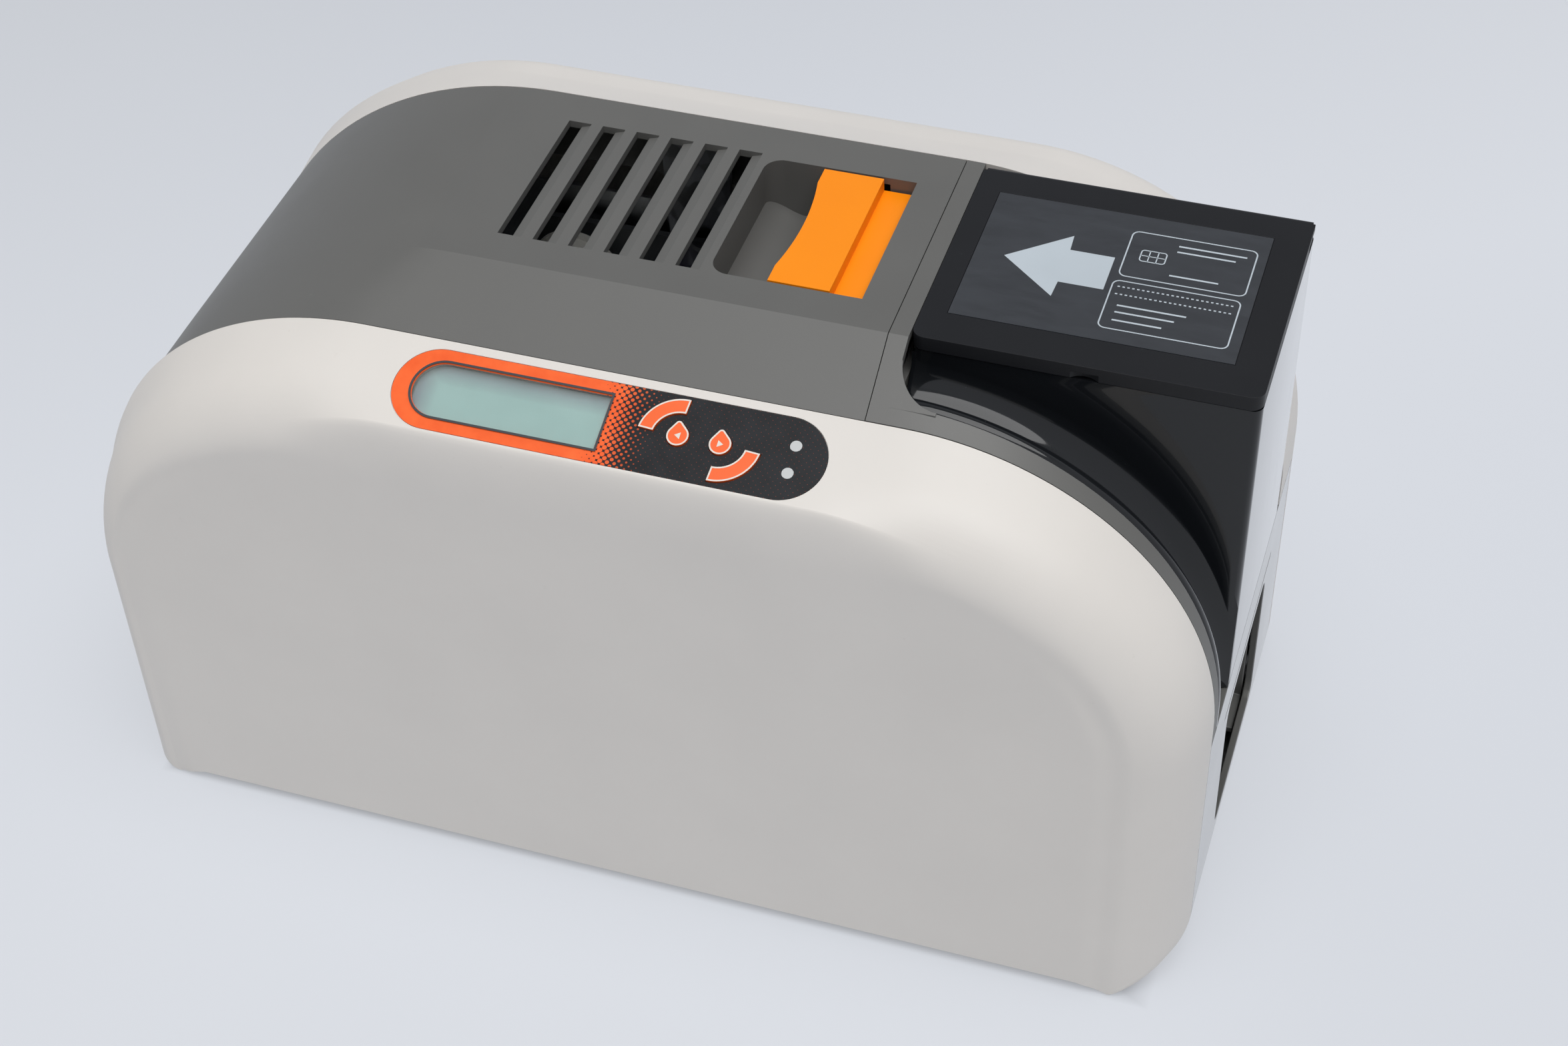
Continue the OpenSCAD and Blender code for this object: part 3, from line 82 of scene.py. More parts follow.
def shade(code, k):
    """The linear colour of a hex code, k times as bright."""
    c = linear(code)
    return [min(1.0, c[i] * k) for i in range(3)] + [1.0]


def add(tree, kind, links=None, **settings):
    """Adds a node, sets its properties and its unlinked inputs, and links the given sockets into it."""
    n = tree.nodes.new("ShaderNode" + kind)
    for key, value in settings.items():
        if key.startswith("in_"):
            name = key[3:]
            sock = n.inputs[int(name)] if name.isdigit() else n.inputs[name.replace("_", " ")]
            sock.default_value = value
        else:
            setattr(n, key, value)
    for key, source in (links or {}).items():
        tree.links.new(source, n.inputs[key])
    return n


def new_material(name):
    """An empty node material with its output, and the principled shader linked to it."""
    m = bpy.data.materials.new(name)
    m.use_nodes = True
    m.node_tree.nodes.clear()
    out = m.node_tree.nodes.new("ShaderNodeOutputMaterial")
    body = m.node_tree.nodes.new("ShaderNodeBsdfPrincipled")
    m.node_tree.links.new(body.outputs[0], out.inputs["Surface"])
    return m, m.node_tree, body


def object_noise(tree, size_mm, detail=2.0, rough=0.5, stretch=(1, 1, 1)):
    """Noise on Object coordinates whose blobs are about size_mm across."""
    co = add(tree, "TexCoord")
    scaled = add(tree, "Mapping", {0: co.outputs["Object"]}, in_Scale=stretch)
    return add(tree, "TexNoise", {"Vector": scaled.outputs[0]}, in_Scale=1000.0 / size_mm, in_Detail=detail,
               in_Roughness=rough)


def two_tone(tree, fac, dark, light, low=0.3, high=0.7):
    """Mixes two linear colours by a factor stretched between low and high."""
    fit = add(tree, "MapRange", {"Value": fac}, in_1=low, in_2=high)
    mix = add(tree, "Mix", {"Factor": fit.outputs[0]}, data_type="RGBA")
    mix.inputs[6].default_value = dark
    mix.inputs[7].default_value = light
    return mix.outputs[2]


def vary(tree, fac, low, high):
    """A number that follows a noise between low and high."""
    return add(tree, "MapRange", {"Value": fac}, in_1=0.25, in_2=0.75, in_3=low, in_4=high).outputs[0]


def relief(tree, body, height, depth_mm, before=None):
    """Bumps the shader's normal by a height field that is depth_mm deep."""
    links = {"Height": height}
    if before is not None:
        links["Normal"] = before
    b = add(tree, "Bump", links, in_Strength=1.0, in_Distance=depth_mm * MM)
    tree.links.new(b.outputs[0], body.inputs["Normal"])
    return b.outputs[0]


def moulded(name, code, rough=0.5, grain=0.5, depth=0.02, blotch=0.04, metal=0.0, coat=0.0, spec=0.5,
            wear=None):
    """Injection-moulded plastic: grain as bump, a faint cloudy tone, and a roughness that drifts.

    The real grain is about 0.1 mm, too fine to show, so it is drawn 0.4 to 1.4 mm wide.
    """
    m, t, b = new_material(name)
    cloud = object_noise(t, 38.0, 3.0)
    fine = object_noise(t, grain, 2.0)
    tone = two_tone(t, cloud.outputs[0], shade(code, 1 - blotch), shade(code, 1 + blotch))
    if wear:
        spots = object_noise(t, 5.5, 6.0, 0.72)
        lift = add(t, "MapRange", {"Value": spots.outputs[0]}, in_1=0.66, in_2=0.80, in_3=0.0, in_4=wear[1])
        mix = add(t, "Mix", {"Factor": lift.outputs[0], 6: tone}, data_type="RGBA")
        mix.inputs[7].default_value = linear(wear[0])
        tone = mix.outputs[2]
    t.links.new(tone, b.inputs["Base Color"])
    t.links.new(vary(t, cloud.outputs[0], rough - 0.05, rough + 0.05), b.inputs["Roughness"])
    b.inputs["Metallic"].default_value = metal
    b.inputs["Specular IOR Level"].default_value = spec
    if coat:
        b.inputs["Coat Weight"].default_value = coat
        b.inputs["Coat Roughness"].default_value = 0.04
    relief(t, b, fine.outputs[0], depth)
    return m


def sheet_metal(name, code, rough=0.38, spangle=6.0, brush=None):
    """Zinc-plated or brushed metal: cells or lines of slightly different tone and roughness.

    Brush lines are drawn about 0.4 mm apart, coarser than real ones, so that they show.
    """
    m, t, b = new_material(name)
    if brush:
        tex = object_noise(t, brush[0], 3.0, 0.6, brush[1]).outputs[0]
    else:
        co = add(t, "TexCoord")
        cells = add(t, "TexVoronoi", {"Vector": co.outputs["Object"]}, in_Scale=1000.0 / spangle)
        tex = add(t, "SeparateColor", {0: cells.outputs["Color"]}).outputs[0]
    t.links.new(two_tone(t, tex, shade(code, 0.86), shade(code, 1.1), 0.1, 0.9), b.inputs["Base Color"])
    t.links.new(vary(t, tex, rough - 0.07, rough + 0.1), b.inputs["Roughness"])
    b.inputs["Metallic"].default_value = 1.0
    relief(t, b, object_noise(t, 1.2, 2.0).outputs[0], 0.01)
    return m


def polished_black(name, code, rough=0.06):
    """Polished black styrene: a deep base, hairline swirls in the gloss, and a few dust specks."""
    m, t, b = new_material(name)
    swirl = object_noise(t, 14.0, 5.0, 0.6, (1, 3, 1))
    dust = object_noise(t, 0.9, 1.0)
    speck = add(t, "MapRange", {"Value": dust.outputs[0]}, in_1=0.80, in_2=0.84, in_3=0.0, in_4=0.35)
    mix = add(t, "Mix", {"Factor": speck.outputs[0]}, data_type="RGBA")
    mix.inputs[6].default_value = linear(code)
    mix.inputs[7].default_value = linear("#6c6f73")
    t.links.new(mix.outputs[2], b.inputs["Base Color"])
    t.links.new(vary(t, swirl.outputs[0], rough, rough + 0.07), b.inputs["Roughness"])
    b.inputs["IOR"].default_value = 1.3
    b.inputs["Coat Weight"].default_value = 1.0
    b.inputs["Coat IOR"].default_value = 1.25
    b.inputs["Coat Roughness"].default_value = 0.03
    relief(t, b, swirl.outputs[0], 0.01)
    return m


def rubbery(name, code, grain=0.3, depth=0.03):
    """Ground or moulded rubber: matt, with a fine tooth and a dusty lift in its tone."""
    m, t, b = new_material(name)
    dust = object_noise(t, 9.0, 5.0, 0.65)
    tone = two_tone(t, dust.outputs[0], shade(code, 0.85), shade(code, 1.5), 0.4, 0.8)
    t.links.new(tone, b.inputs["Base Color"])
    t.links.new(vary(t, dust.outputs[0], 0.68, 0.88), b.inputs["Roughness"])
    relief(t, b, object_noise(t, grain, 2.0).outputs[0], depth)
    return m


def slope_mapping(tree):
    """Object coordinates turned into the key panel's plane: x along the case, y up the slope, in metres."""
    a = math.radians(TILT)
    y0 = -Y_S - PANEL_D * math.cos(a)
    z0 = Z_S - PANEL_D * math.sin(a)
    along = y0 * math.cos(a) + z0 * math.sin(a)
    out = -y0 * math.sin(a) + z0 * math.cos(a)
    co = add(tree, "TexCoord")
    return add(tree, "Mapping", {0: co.outputs["Object"]}, in_Rotation=(-a, 0, 0),
               in_Location=(-PANEL_X * MM, -along * MM, -out * MM))


def printed_panel(name):
    """Printed film: solid orange round the display breaks into a diagonal halftone and fades to charcoal.

    A dot's radius shrinks linearly along x; a point is orange where its distance to the nearest dot of the
    45 degree grid is below that radius.
    """
    m, t, b = new_material(name)
    plane = slope_mapping(t)
    turned = add(t, "VectorRotate", {0: plane.outputs[0]}, rotation_type="Z_AXIS", in_Angle=math.radians(45))
    cells = add(t, "VectorMath", {0: turned.outputs[0]}, operation="SCALE", in_Scale=1000.0 / 1.62)
    frac = add(t, "VectorMath", {0: cells.outputs[0]}, operation="FRACTION")
    flat = add(t, "VectorMath", {0: frac.outputs[0]}, operation="MULTIPLY")
    flat.inputs[1].default_value = (1, 1, 0)
    mid = add(t, "VectorMath", {0: flat.outputs[0]}, operation="SUBTRACT")
    mid.inputs[1].default_value = (0.5, 0.5, 0)
    dist = add(t, "VectorMath", {0: mid.outputs[0]}, operation="LENGTH")
    xyz = add(t, "SeparateXYZ", {0: plane.outputs[0]})
    radius = add(t, "MapRange", {"Value": xyz.outputs[0]}, in_1=-6.0 * MM, in_2=15.0 * MM, in_3=0.74,
                 in_4=0.06)
    edge = add(t, "Math", {0: radius.outputs[0], 1: dist.outputs["Value"]}, operation="SUBTRACT")
    dot = add(t, "MapRange", {"Value": edge.outputs[0]}, in_1=-0.03, in_2=0.03)
    ink = object_noise(t, 7.0, 3.0)
    orange = two_tone(t, ink.outputs[0], linear("#f4602a"), linear("#ff6f34"))
    char = two_tone(t, ink.outputs[0], linear("#16181b"), linear("#1d2024"))
    fade = add(t, "MapRange", {"Value": xyz.outputs[0]}, in_1=2.0 * MM, in_2=16.0 * MM, in_3=1.0, in_4=0.25)
    amount = add(t, "Math", {0: dot.outputs[0], 1: fade.outputs[0]}, operation="MULTIPLY")
    mix = add(t, "Mix", {"Factor": amount.outputs[0], 6: char, 7: orange}, data_type="RGBA")
    t.links.new(mix.outputs[2], b.inputs["Base Color"])
    t.links.new(vary(t, ink.outputs[0], 0.34, 0.44), b.inputs["Roughness"])
    b.inputs["Specular IOR Level"].default_value = 0.25
    relief(t, b, object_noise(t, 0.6, 2.0).outputs[0], 0.004)
    return m


def liquid_crystal(name):
    """Reflective display glass: grey-green with pixels of 0.6 mm, and painted shade of the window's rim that
    turns it blue-grey towards its upper and left edges.
    """
    m, t, b = new_material(name)
    plane = slope_mapping(t)
    xyz = add(t, "SeparateXYZ", {0: plane.outputs[0]})
    # Painted shade: the lit grey-green #93bcb8 turns to the blue-grey #6a7887 towards the upper and left
    # edges, where the window's rim shades the display
    top_painted_shade = add(t, "MapRange", {"Value": xyz.outputs[1]}, in_1=3.5 * MM, in_2=9.2 * MM)
    left = add(t, "MapRange", {"Value": xyz.outputs[0]}, in_1=-56.0 * MM, in_2=-62.0 * MM)
    rim = add(t, "Math", {0: top_painted_shade.outputs[0], 1: left.outputs[0]}, operation="MAXIMUM")
    mix = add(t, "Mix", {"Factor": rim.outputs[0]}, data_type="RGBA")
    mix.inputs[6].default_value = linear("#93bcb8")
    mix.inputs[7].default_value = linear("#6a7887")
    grid = add(t, "VectorMath", {0: plane.outputs[0]}, operation="SCALE", in_Scale=1000.0 / 0.6)
    frac = add(t, "VectorMath", {0: grid.outputs[0]}, operation="FRACTION")
    cell = add(t, "SeparateXYZ", {0: frac.outputs[0]})
    low = add(t, "Math", {0: cell.outputs[0], 1: cell.outputs[1]}, operation="MINIMUM")
    line = add(t, "MapRange", {"Value": low.outputs[0]}, in_1=0.08, in_2=0.16, in_3=0.96, in_4=1.0)
    tint = add(t, "VectorMath", {0: mix.outputs[2], "Scale": line.outputs[0]}, operation="SCALE")
    t.links.new(tint.outputs[0], b.inputs["Base Color"])
    b.inputs["Roughness"].default_value = 0.22
    return m


def clear_window(name, code, alpha=0.18):
    """Clear cast window: mostly see-through with a thin gloss and a few wipe marks."""
    m, t, b = new_material(name)
    smear = object_noise(t, 11.0, 4.0)
    t.links.new(two_tone(t, smear.outputs[0], shade(code, 0.95), shade(code, 1.05)), b.inputs["Base Color"])
    t.links.new(vary(t, smear.outputs[0], 0.03, 0.10), b.inputs["Roughness"])
    b.inputs["Alpha"].default_value = alpha
    return m


def circuit_board(name, code):
    """Solder-masked board: green lacquer with straight copper tracks showing through as a lighter weave."""
    m, t, b = new_material(name)
    co = add(t, "TexCoord")
    tracks = add(t, "TexBrick", {"Vector": co.outputs["Object"]}, in_Scale=160.0)
    tracks.inputs["Color1"].default_value = shade(code, 0.9)
    tracks.inputs["Color2"].default_value = shade(code, 1.25)
    tracks.inputs["Mortar"].default_value = shade(code, 2.2)
    tracks.inputs["Mortar Size"].default_value = 0.012
    t.links.new(tracks.outputs[0], b.inputs["Base Color"])
    b.inputs["Roughness"].default_value = 0.35
    relief(t, b, object_noise(t, 3.0, 2.0).outputs[0], 0.02)
    return m


def wound_film(name, code, pitch=0.5):
    """Dye film or a spool of it: thin windings that catch the light, drawn far coarser than real film."""
    m, t, b = new_material(name)
    fine = object_noise(t, pitch, 2.0, 0.5, (1, 8, 1))
    t.links.new(two_tone(t, fine.outputs[0], shade(code, 0.8), shade(code, 1.3)), b.inputs["Base Color"])
    t.links.new(vary(t, fine.outputs[0], 0.14, 0.3), b.inputs["Roughness"])
    relief(t, b, fine.outputs[0], 0.01)
    return m


def label_film(name, code):
    """Matt printed label: dark film with long light scuffs and rubbed dust."""
    m, t, b = new_material(name)
    rub = object_noise(t, 6.0, 8.0, 0.7, (0.35, 1.2, 1))
    scuff = object_noise(t, 1.6, 6.0, 0.75, (0.25, 2.4, 1))
    tone = two_tone(t, rub.outputs[0], shade(code, 0.88), shade(code, 1.25), 0.35, 0.7)
    lift = add(t, "MapRange", {"Value": scuff.outputs[0]}, in_1=0.66, in_2=0.78, in_3=0.0, in_4=0.22)
    mix = add(t, "Mix", {"Factor": lift.outputs[0], 6: tone}, data_type="RGBA")
    mix.inputs[7].default_value = linear("#8c9094")
    t.links.new(mix.outputs[2], b.inputs["Base Color"])
    t.links.new(vary(t, rub.outputs[0], 0.42, 0.62), b.inputs["Roughness"])
    relief(t, b, scuff.outputs[0], 0.01)
    return m


MATERIALS = {
    "cover_beige": moulded("beige_moulded_abs", "#dedad5", 0.5, 0.55, 0.012, 0.015, wear=("#c9c4bd", 0.35)),
    "case_grey": moulded("warm_grey_moulded_abs", "#61615f", 0.46, 0.5, 0.02, 0.03, wear=("#7c7c79", 0.3)),
    "base_dark": moulded("dark_chassis_plastic", "#2a2c2e", 0.55, 0.8, 0.02, 0.08),
    "foot_rubber": rubbery("foot_rubber", "#202020"),
    "screw_steel": sheet_metal("zinc_plated_screw", "#a9adb0", 0.3, 3.0),
    "plate_steel": sheet_metal("galvanised_sheet_steel", "#b4b8bc", 0.38, 7.0),
    "pin_steel": sheet_metal("ground_steel_pin", "#9a9ea2", 0.22, brush=(0.4, (1, 0.05, 1))),
    "spring_steel": sheet_metal("drawn_spring_wire", "#8d9194", 0.3, 2.0),
    "latch_orange": moulded("orange_gloss_moulding", "#ff9006", 0.42, 0.7, 0.008, 0.03, spec=0.3),
    "cassette_black": polished_black("polished_black_styrene", "#15171a"),
    "lid_charcoal": moulded("charcoal_satin_lid", "#1a1b1e", 0.42, 0.6, 0.008, 0.06, spec=0.22,
                            wear=("#55585c", 0.2)),
    "label_film": label_film("scuffed_label_film", "#2c2f34"),
    "panel_film": printed_panel("printed_panel_film"),
    "display_teal": liquid_crystal("reflective_display"),
    "lens_clear": clear_window("clear_display_window", "#d4e4e1"),
    "indicator_white": moulded("white_indicator_lens", "#c9cccd", 0.25, 0.8, 0.004, 0.02, coat=0.4),
    "board_green": circuit_board("solder_masked_board", "#1f5a35"),
    "key_orange": moulded("orange_key_moulding", "#ff6a2c", 0.32, 0.6, 0.006, 0.04, coat=0.2),
    "bush_bronze": sheet_metal("sintered_bronze", "#c9a96a", 0.42, 1.2),
    "roller_rubber": rubbery("ground_roller_rubber", "#3a3a3c", 0.4, 0.02),
    "gear_acetal": moulded("white_acetal", "#e8e4da", 0.4, 1.0, 0.008, 0.03),
    "roller_tacky": moulded("tacky_silicone", "#dfe6ea", 0.3, 1.4, 0.006, 0.04, coat=0.5),
    "belt_rubber": rubbery("drive_belt_rubber", "#1c1c1e", 0.8, 0.05),
    "motor_black": moulded("satin_black_motor_paint", "#3c3f43", 0.4, 0.9, 0.015, 0.06, metal=0.2),
    "head_aluminium": sheet_metal("extruded_aluminium", "#d8dadc", 0.32, brush=(0.5, (1, 0.04, 1))),
    "frame_dark": moulded("ribbon_frame_plastic", "#4a4d50", 0.5, 0.8, 0.015, 0.06),
    "spool_white": moulded("white_spool_plastic", "#f0efe9", 0.42, 1.0, 0.01, 0.03),
    "ribbon_violet": wound_film("violet_dye_film", "#3a2f55"),
    "fan_black": moulded("black_fan_plastic", "#1e1f21", 0.45, 0.9, 0.012, 0.08),
    "socket_black": moulded("black_socket_plastic", "#1a1a1c", 0.5, 0.8, 0.012, 0.08),
}
SLOT_OF = {s["node"]: s["material_slot"] for s in frame["record"]["subparts"]}
BODY_OF = {n: b for b, nodes in frame["record"]["behaviour"]["bodies"].items() for n in nodes}
for node_name, node_object in frame["nodes"].items():
    for material_slot in node_object.material_slots:
        material_slot.material = MATERIALS[SLOT_OF[node_name]]


# ---------------------------------------------------------------- meshes
def smooth_shaded(mesh, sharp):
    """Shades a mesh smooth except where its faces meet above the angle sharp, in degrees."""
    mesh.polygons.foreach_set("use_smooth", np.ones(len(mesh.polygons), bool))
    mesh.set_sharp_from_angle(angle=math.radians(sharp))


def place(name, verts_mm, faces, slot, body):
    """Puts vertices in mm and faces into one smooth-shaded object at the origin."""
    mesh = bpy.data.meshes.new(name)
    mesh.from_pydata((np.asarray(verts_mm) * MM).tolist(), [], [list(f) for f in faces])
    smooth_shaded(mesh, COVER_SHARP)
    mesh.update()
    obj = bpy.data.objects.new(name, mesh)
    bpy.context.scene.collection.objects.link(obj)
    mesh.materials.append(MATERIALS[slot])
    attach(obj, body)
    return obj


def grid_faces(rows, cols, closed=True):
    """Quads of a rows x cols grid of vertices, wrapping round in the column direction when closed."""
    i, j = np.meshgrid(np.arange(rows - 1), np.arange(cols if closed else cols - 1), indexing="ij")
    k = (j + 1) % cols
    quads = np.stack([i * cols + j, i * cols + k, (i + 1) * cols + k, (i + 1) * cols + j], -1)
    return quads.reshape(-1, 4).tolist()


def quarter(cx, cz, rx, rz, a0, a1, n):
    """Points (cx + rx cos a, cz + rz sin a) for n + 1 even steps of a from a0 to a1 degrees."""
    a = np.radians(np.linspace(a0, a1, n + 1))
    return np.stack([cx + rx * np.cos(a), cz + rz * np.sin(a)], 1)


def case_outline(xr, xf, zt, rr, rf, e, t, z0, n=44, top=(), lean=0.0, rear=None):
    """Side outline of the case: two top arcs drawn in by e in front, by rear behind and by t at the top.

    They stand on a round foot in front and a sharp one behind, both at z0.
    """
    k = max(0.6, min(FOOT_R, FOOT_R + 3 - e))
    rear = e if rear is None else rear
    parts = [quarter(xf - rf, zt - rf, rf - e, rf - t, 0, 90, n), np.reshape(top, (-1, 2)),
             quarter(xr + rr, zt - rr, rr - rear - lean, rr - t, 90, 180, n),
             quarter(xr + rear + 3, z0 + 3, 3, 3, 180, 270, 6),
             quarter(xf - e - k, z0 + k, k, k, 270, 360, 14)]
    return np.concatenate(parts)


def leaning_ring(outline, y, a):
    """An XZ outline stood at y and turned by a degrees about the line y, z = shoulder's widest height."""
    s, c = math.sin(math.radians(a)), math.cos(math.radians(a))
    dz = outline[:, 1] - Z_W
    return np.stack([outline[:, 0], y - dz * s, Z_W + dz * c], 1)


def smooth(a):
    """Smooth step: 3a^2 - 2a^3 on a held between 0 and 1."""
    a = np.clip(a, 0, 1)
    return a * a * (3 - 2 * a)


def round_off(u, u0, h):
    """Quarter ellipse that starts at the share u0 and falls by h at the share 1."""
    q = max(0.0, (u - u0) / (1 - u0))
    return h * (1 - math.sqrt(max(0.0, 1 - q * q)))


TOP_X = np.linspace(X_F - FRONT_R, X_R + REAR_R, 46)[1:-1]


def pad_share(x):
    """Share of the key pad's fuller shoulder: 1 along the panel, fading smoothly to 0 beyond its two ends."""
    behind = smooth((x - X_R - REAR_R + PAD_REAR_OUT) / PAD_REAR_FADE)
    return behind * smooth((X_F - FRONT_R + PAD_FRONT_OUT - x) / PAD_FRONT_FADE)


def pillow_ring(side, u, w, extra=0.0):
    """Ring of a side cover at the share u of its depth, drawn in by extra on the flat wall.

    Its ends draw in by R(1 - sqrt(1 - u^2)), where R is smaller at the near cover's rear. Its top falls
    along the shoulder's slope and rounds over by a quarter ellipse, which starts later under the key panel.
    A shallow crease runs round the ends of the near wall.
    """
    bend = DRAFT * u
    e = END_ROUND * (1 - math.sqrt(1 - u * u)) + w
    rear = e + extra if side > 0 else NEAR_REAR_ROUND / END_ROUND * (e - w) + w + extra
    d = u * COVER_D + (24 - u * COVER_D * math.tan(math.radians(TILT))) * math.sin(math.radians(bend))
    t0 = d * math.tan(math.radians(TILT)) + w / math.cos(math.radians(TILT))
    t1 = round_off(u, *(NEAR_ROUND if side < 0 else FAR_ROUND))
    t2 = round_off(u, *PAD_ROUND)
    top = np.stack([TOP_X, np.full_like(TOP_X, Z_S - t0 - t1 - extra)], 1) if side < 0 else ()
    outline = case_outline(X_R, X_F, Z_S, REAR_R, FRONT_R, e + extra, t0 + t1 + extra,
                           FOOT_Z if w == 0 else -20, top=top, lean=2.5 * float(smooth(u / 0.4)), rear=rear)
    if side < 0:
        upper = outline[:, 1] > Z_S - 62
        outline[upper, 1] -= (t2 - t1) * pad_share(outline[upper, 0])
    ring = leaning_ring(outline, side * (Y_S + u * COVER_D - (w if u > 0.5 else 0)), -side * bend)
    if side < 0 and w == 0:
        dip = float(smooth(1 - abs(e + extra - CREASE_IN) / CREASE_HALF))
        reach = smooth((178 - outline[:, 1]) / 50) * smooth((np.abs(outline[:, 0] - 12) - 96) / 40)
        ring[:, 1] += CREASE * dip * reach
    return ring


def strip_outline(w):
    """Outline of the crown's edge, where the far cover meets the flat top."""
    return case_outline(X_B, X_F, Z_T, CROWN_R, FRONT_R + 12, w, w, FOOT_Z if w == 0 else -20)


def loft_mesh(rings):
    """Closed solid through a row of rings: quads from ring to ring and one face over each end."""
    n, m = len(rings[0]), len(rings)
    faces = grid_faces(m, n)
    faces += [list(range(n - 1, -1, -1)), [(m - 1) * n + k for k in range(n)]]
    return np.concatenate(rings), faces


def recalculated(mesh):
    """Merges doubles and turns every face outwards."""
    bm = bmesh.new()
    bm.from_mesh(mesh)
    bmesh.ops.remove_doubles(bm, verts=bm.verts, dist=1e-6)
    bmesh.ops.recalc_face_normals(bm, faces=bm.faces)
    bm.to_mesh(mesh)
    bm.free()


def closed_object(name, verts, faces):
    """Object of a closed mesh given in mm."""
    mesh = bpy.data.meshes.new(name)
    mesh.from_pydata((np.asarray(verts) * MM).tolist(), [], faces)
    recalculated(mesh)
    obj = bpy.data.objects.new(name, mesh)
    bpy.context.scene.collection.objects.link(obj)
    return obj


def prism_object(loop, lift):
    """Closed prism between the loop (n x 3, mm) and the same loop moved by the vector lift."""
    loop = np.asarray(loop, float)
    n = len(loop)
    k = np.arange(n)
    faces = np.stack([k, (k + 1) % n, n + (k + 1) % n, n + k], 1).tolist()
    faces += [list(range(n - 1, -1, -1)), list(range(n, 2 * n))]
    return closed_object("cutter", np.concatenate([loop, loop + np.asarray(lift, float)]), faces)


def carved(obj, cutters):
    """Takes the cutters out of obj by exact booleans, applies the result and removes the cutters."""
    for cutter in cutters:
        mod = obj.modifiers.new("carve", "BOOLEAN")
        mod.operation, mod.solver, mod.object = "DIFFERENCE", "EXACT", cutter
    deps = bpy.context.evaluated_depsgraph_get()
    mesh = bpy.data.meshes.new_from_object(obj.evaluated_get(deps))
    obj.modifiers.clear()
    old = obj.data
    obj.data = mesh
    bpy.data.meshes.remove(old)
    for cutter in cutters:
        bpy.data.objects.remove(cutter)
    smooth_shaded(mesh, COVER_SHARP)
    return obj


def on_slope(u, v, h=0.0):
    """Panel coordinates (u along the case, v up the slope, h out of it, mm) to the case's frame."""
    u, v, h = np.broadcast_arrays(np.asarray(u, float), np.asarray(v, float), np.asarray(h, float))
    a = math.radians(TILT)
    d = v - PANEL_D
    return np.stack([PANEL_X + u, -Y_S + d * math.cos(a) - h * math.sin(a),
                     Z_S + d * math.sin(a) + h * math.cos(a)], -1)


def stadium_loop(length, width, n=28):
    """Closed loop of a stadium: two half circles joined by straights."""
    r, s = width / 2, (length - width) / 2
    right = quarter(s, 0, r, r, -90, 90, n)
    left = quarter(-s, 0, r, r, 90, 270, n)
    return np.concatenate([right, left])


def window_loop(g):
    """Display window: a half circle on its left, square on its right, grown by g."""
    r = 9.2 + g
    left = quarter(-62.7 + 9.2, 0, r, r, 90, 270, 28)
    return np.concatenate([left, [[-0.9 + g, -r], [-0.9 + g, r]]])


# Centre of each key in the panel's plane
KEY_AT = {"key_back": (22.8, -0.1), "key_left": (22.8, 0.3), "key_right": (36.2, 0.2),
          "key_enter": (36.2, 0.5)}


def key_loop(name, g):
    """Outline of a key grown by g: a bent bar round its neighbour, or a drop with a rounded tip."""
    cx, cy = KEY_AT[name]
    if name in ("key_back", "key_enter"):
        a0, a1 = (87, 176) if name == "key_back" else (-93, -4)
        ro, ri = 12.7 + g, 7.9 - g
        do, di = math.degrees(g / ro), math.degrees(g / ri)
        return np.concatenate([quarter(cx, cy, ro, ro, a0 - do, a1 + do, 24),
                               quarter(cx, cy, ri, ri, a1 + di, a0 - di, 20)])
    r, tip, l = 3.4 + g, 1.1 + g, 1.1 * 3.4
    b = math.degrees(math.asin((r - tip) / l))
    pts = np.concatenate([quarter(0, 0, r, r, 180 - b, 360 + b, 36), quarter(0, l, tip, tip, b, 180 - b, 12)])
    c, s = math.cos(math.radians(9)), math.sin(math.radians(9))
    return pts @ np.array([[c, s], [-s, c]]) + [cx, cy]


def slope_prism(loop, h0, h1):
    """Prism of a panel-plane loop between heights h0 and h1."""
    a = math.radians(TILT)
    lift = np.array([0, -math.sin(a), math.cos(a)]) * (h1 - h0)
    return prism_object(on_slope(loop[:, 0], loop[:, 1], h0), lift)


def skirt_cutter():
    """Long relief under a side cover that leaves two feet."""
    pts = [(X_R + 15, -30), (X_R + 15, FOOT_Z), (X_R + 26, SKIRT_Z), (X_F - 32, SKIRT_Z), (X_F - 21, FOOT_Z),
           (X_F - 21, -30)]
    return prism_object([(x, -130, z) for x, z in pts], (0, 260, 0))


def box_cutter(x0, x1, y0, y1, z0, z1):
    """Plain block between two corners."""
    return prism_object([(x0, y0, z0), (x1, y0, z0), (x1, y1, z0), (x0, y1, z0)], (0, 0, z1 - z0))


# ---------------------------------------------------------------- side covers
ARC = np.sin(np.radians(np.linspace(0, 90, 22)))


def depth_steps(*starts):
    """Shares of a cover's depth for its rings, closer together towards 1, and again from each start to 1."""
    steps = [start + (1 - start) * ARC for start in starts]
    return np.unique(np.round(np.concatenate([ARC] + steps), 5))


NEAR_U = depth_steps(NEAR_ROUND[0], PAD_ROUND[0])
FAR_U = depth_steps(FAR_ROUND[0])
INNER_U = (0.02, 0.35, 0.5, 0.58, 0.66, 0.74, 0.8, 0.86, 0.9, 0.94, 0.97, 0.985, 0.995, 1.0)
# Extra rings on the near wall that carry its crease
WALL_RINGS = (0.7, 1.5, 2.5, 3.5, 4.5, 5.5, 9.0)


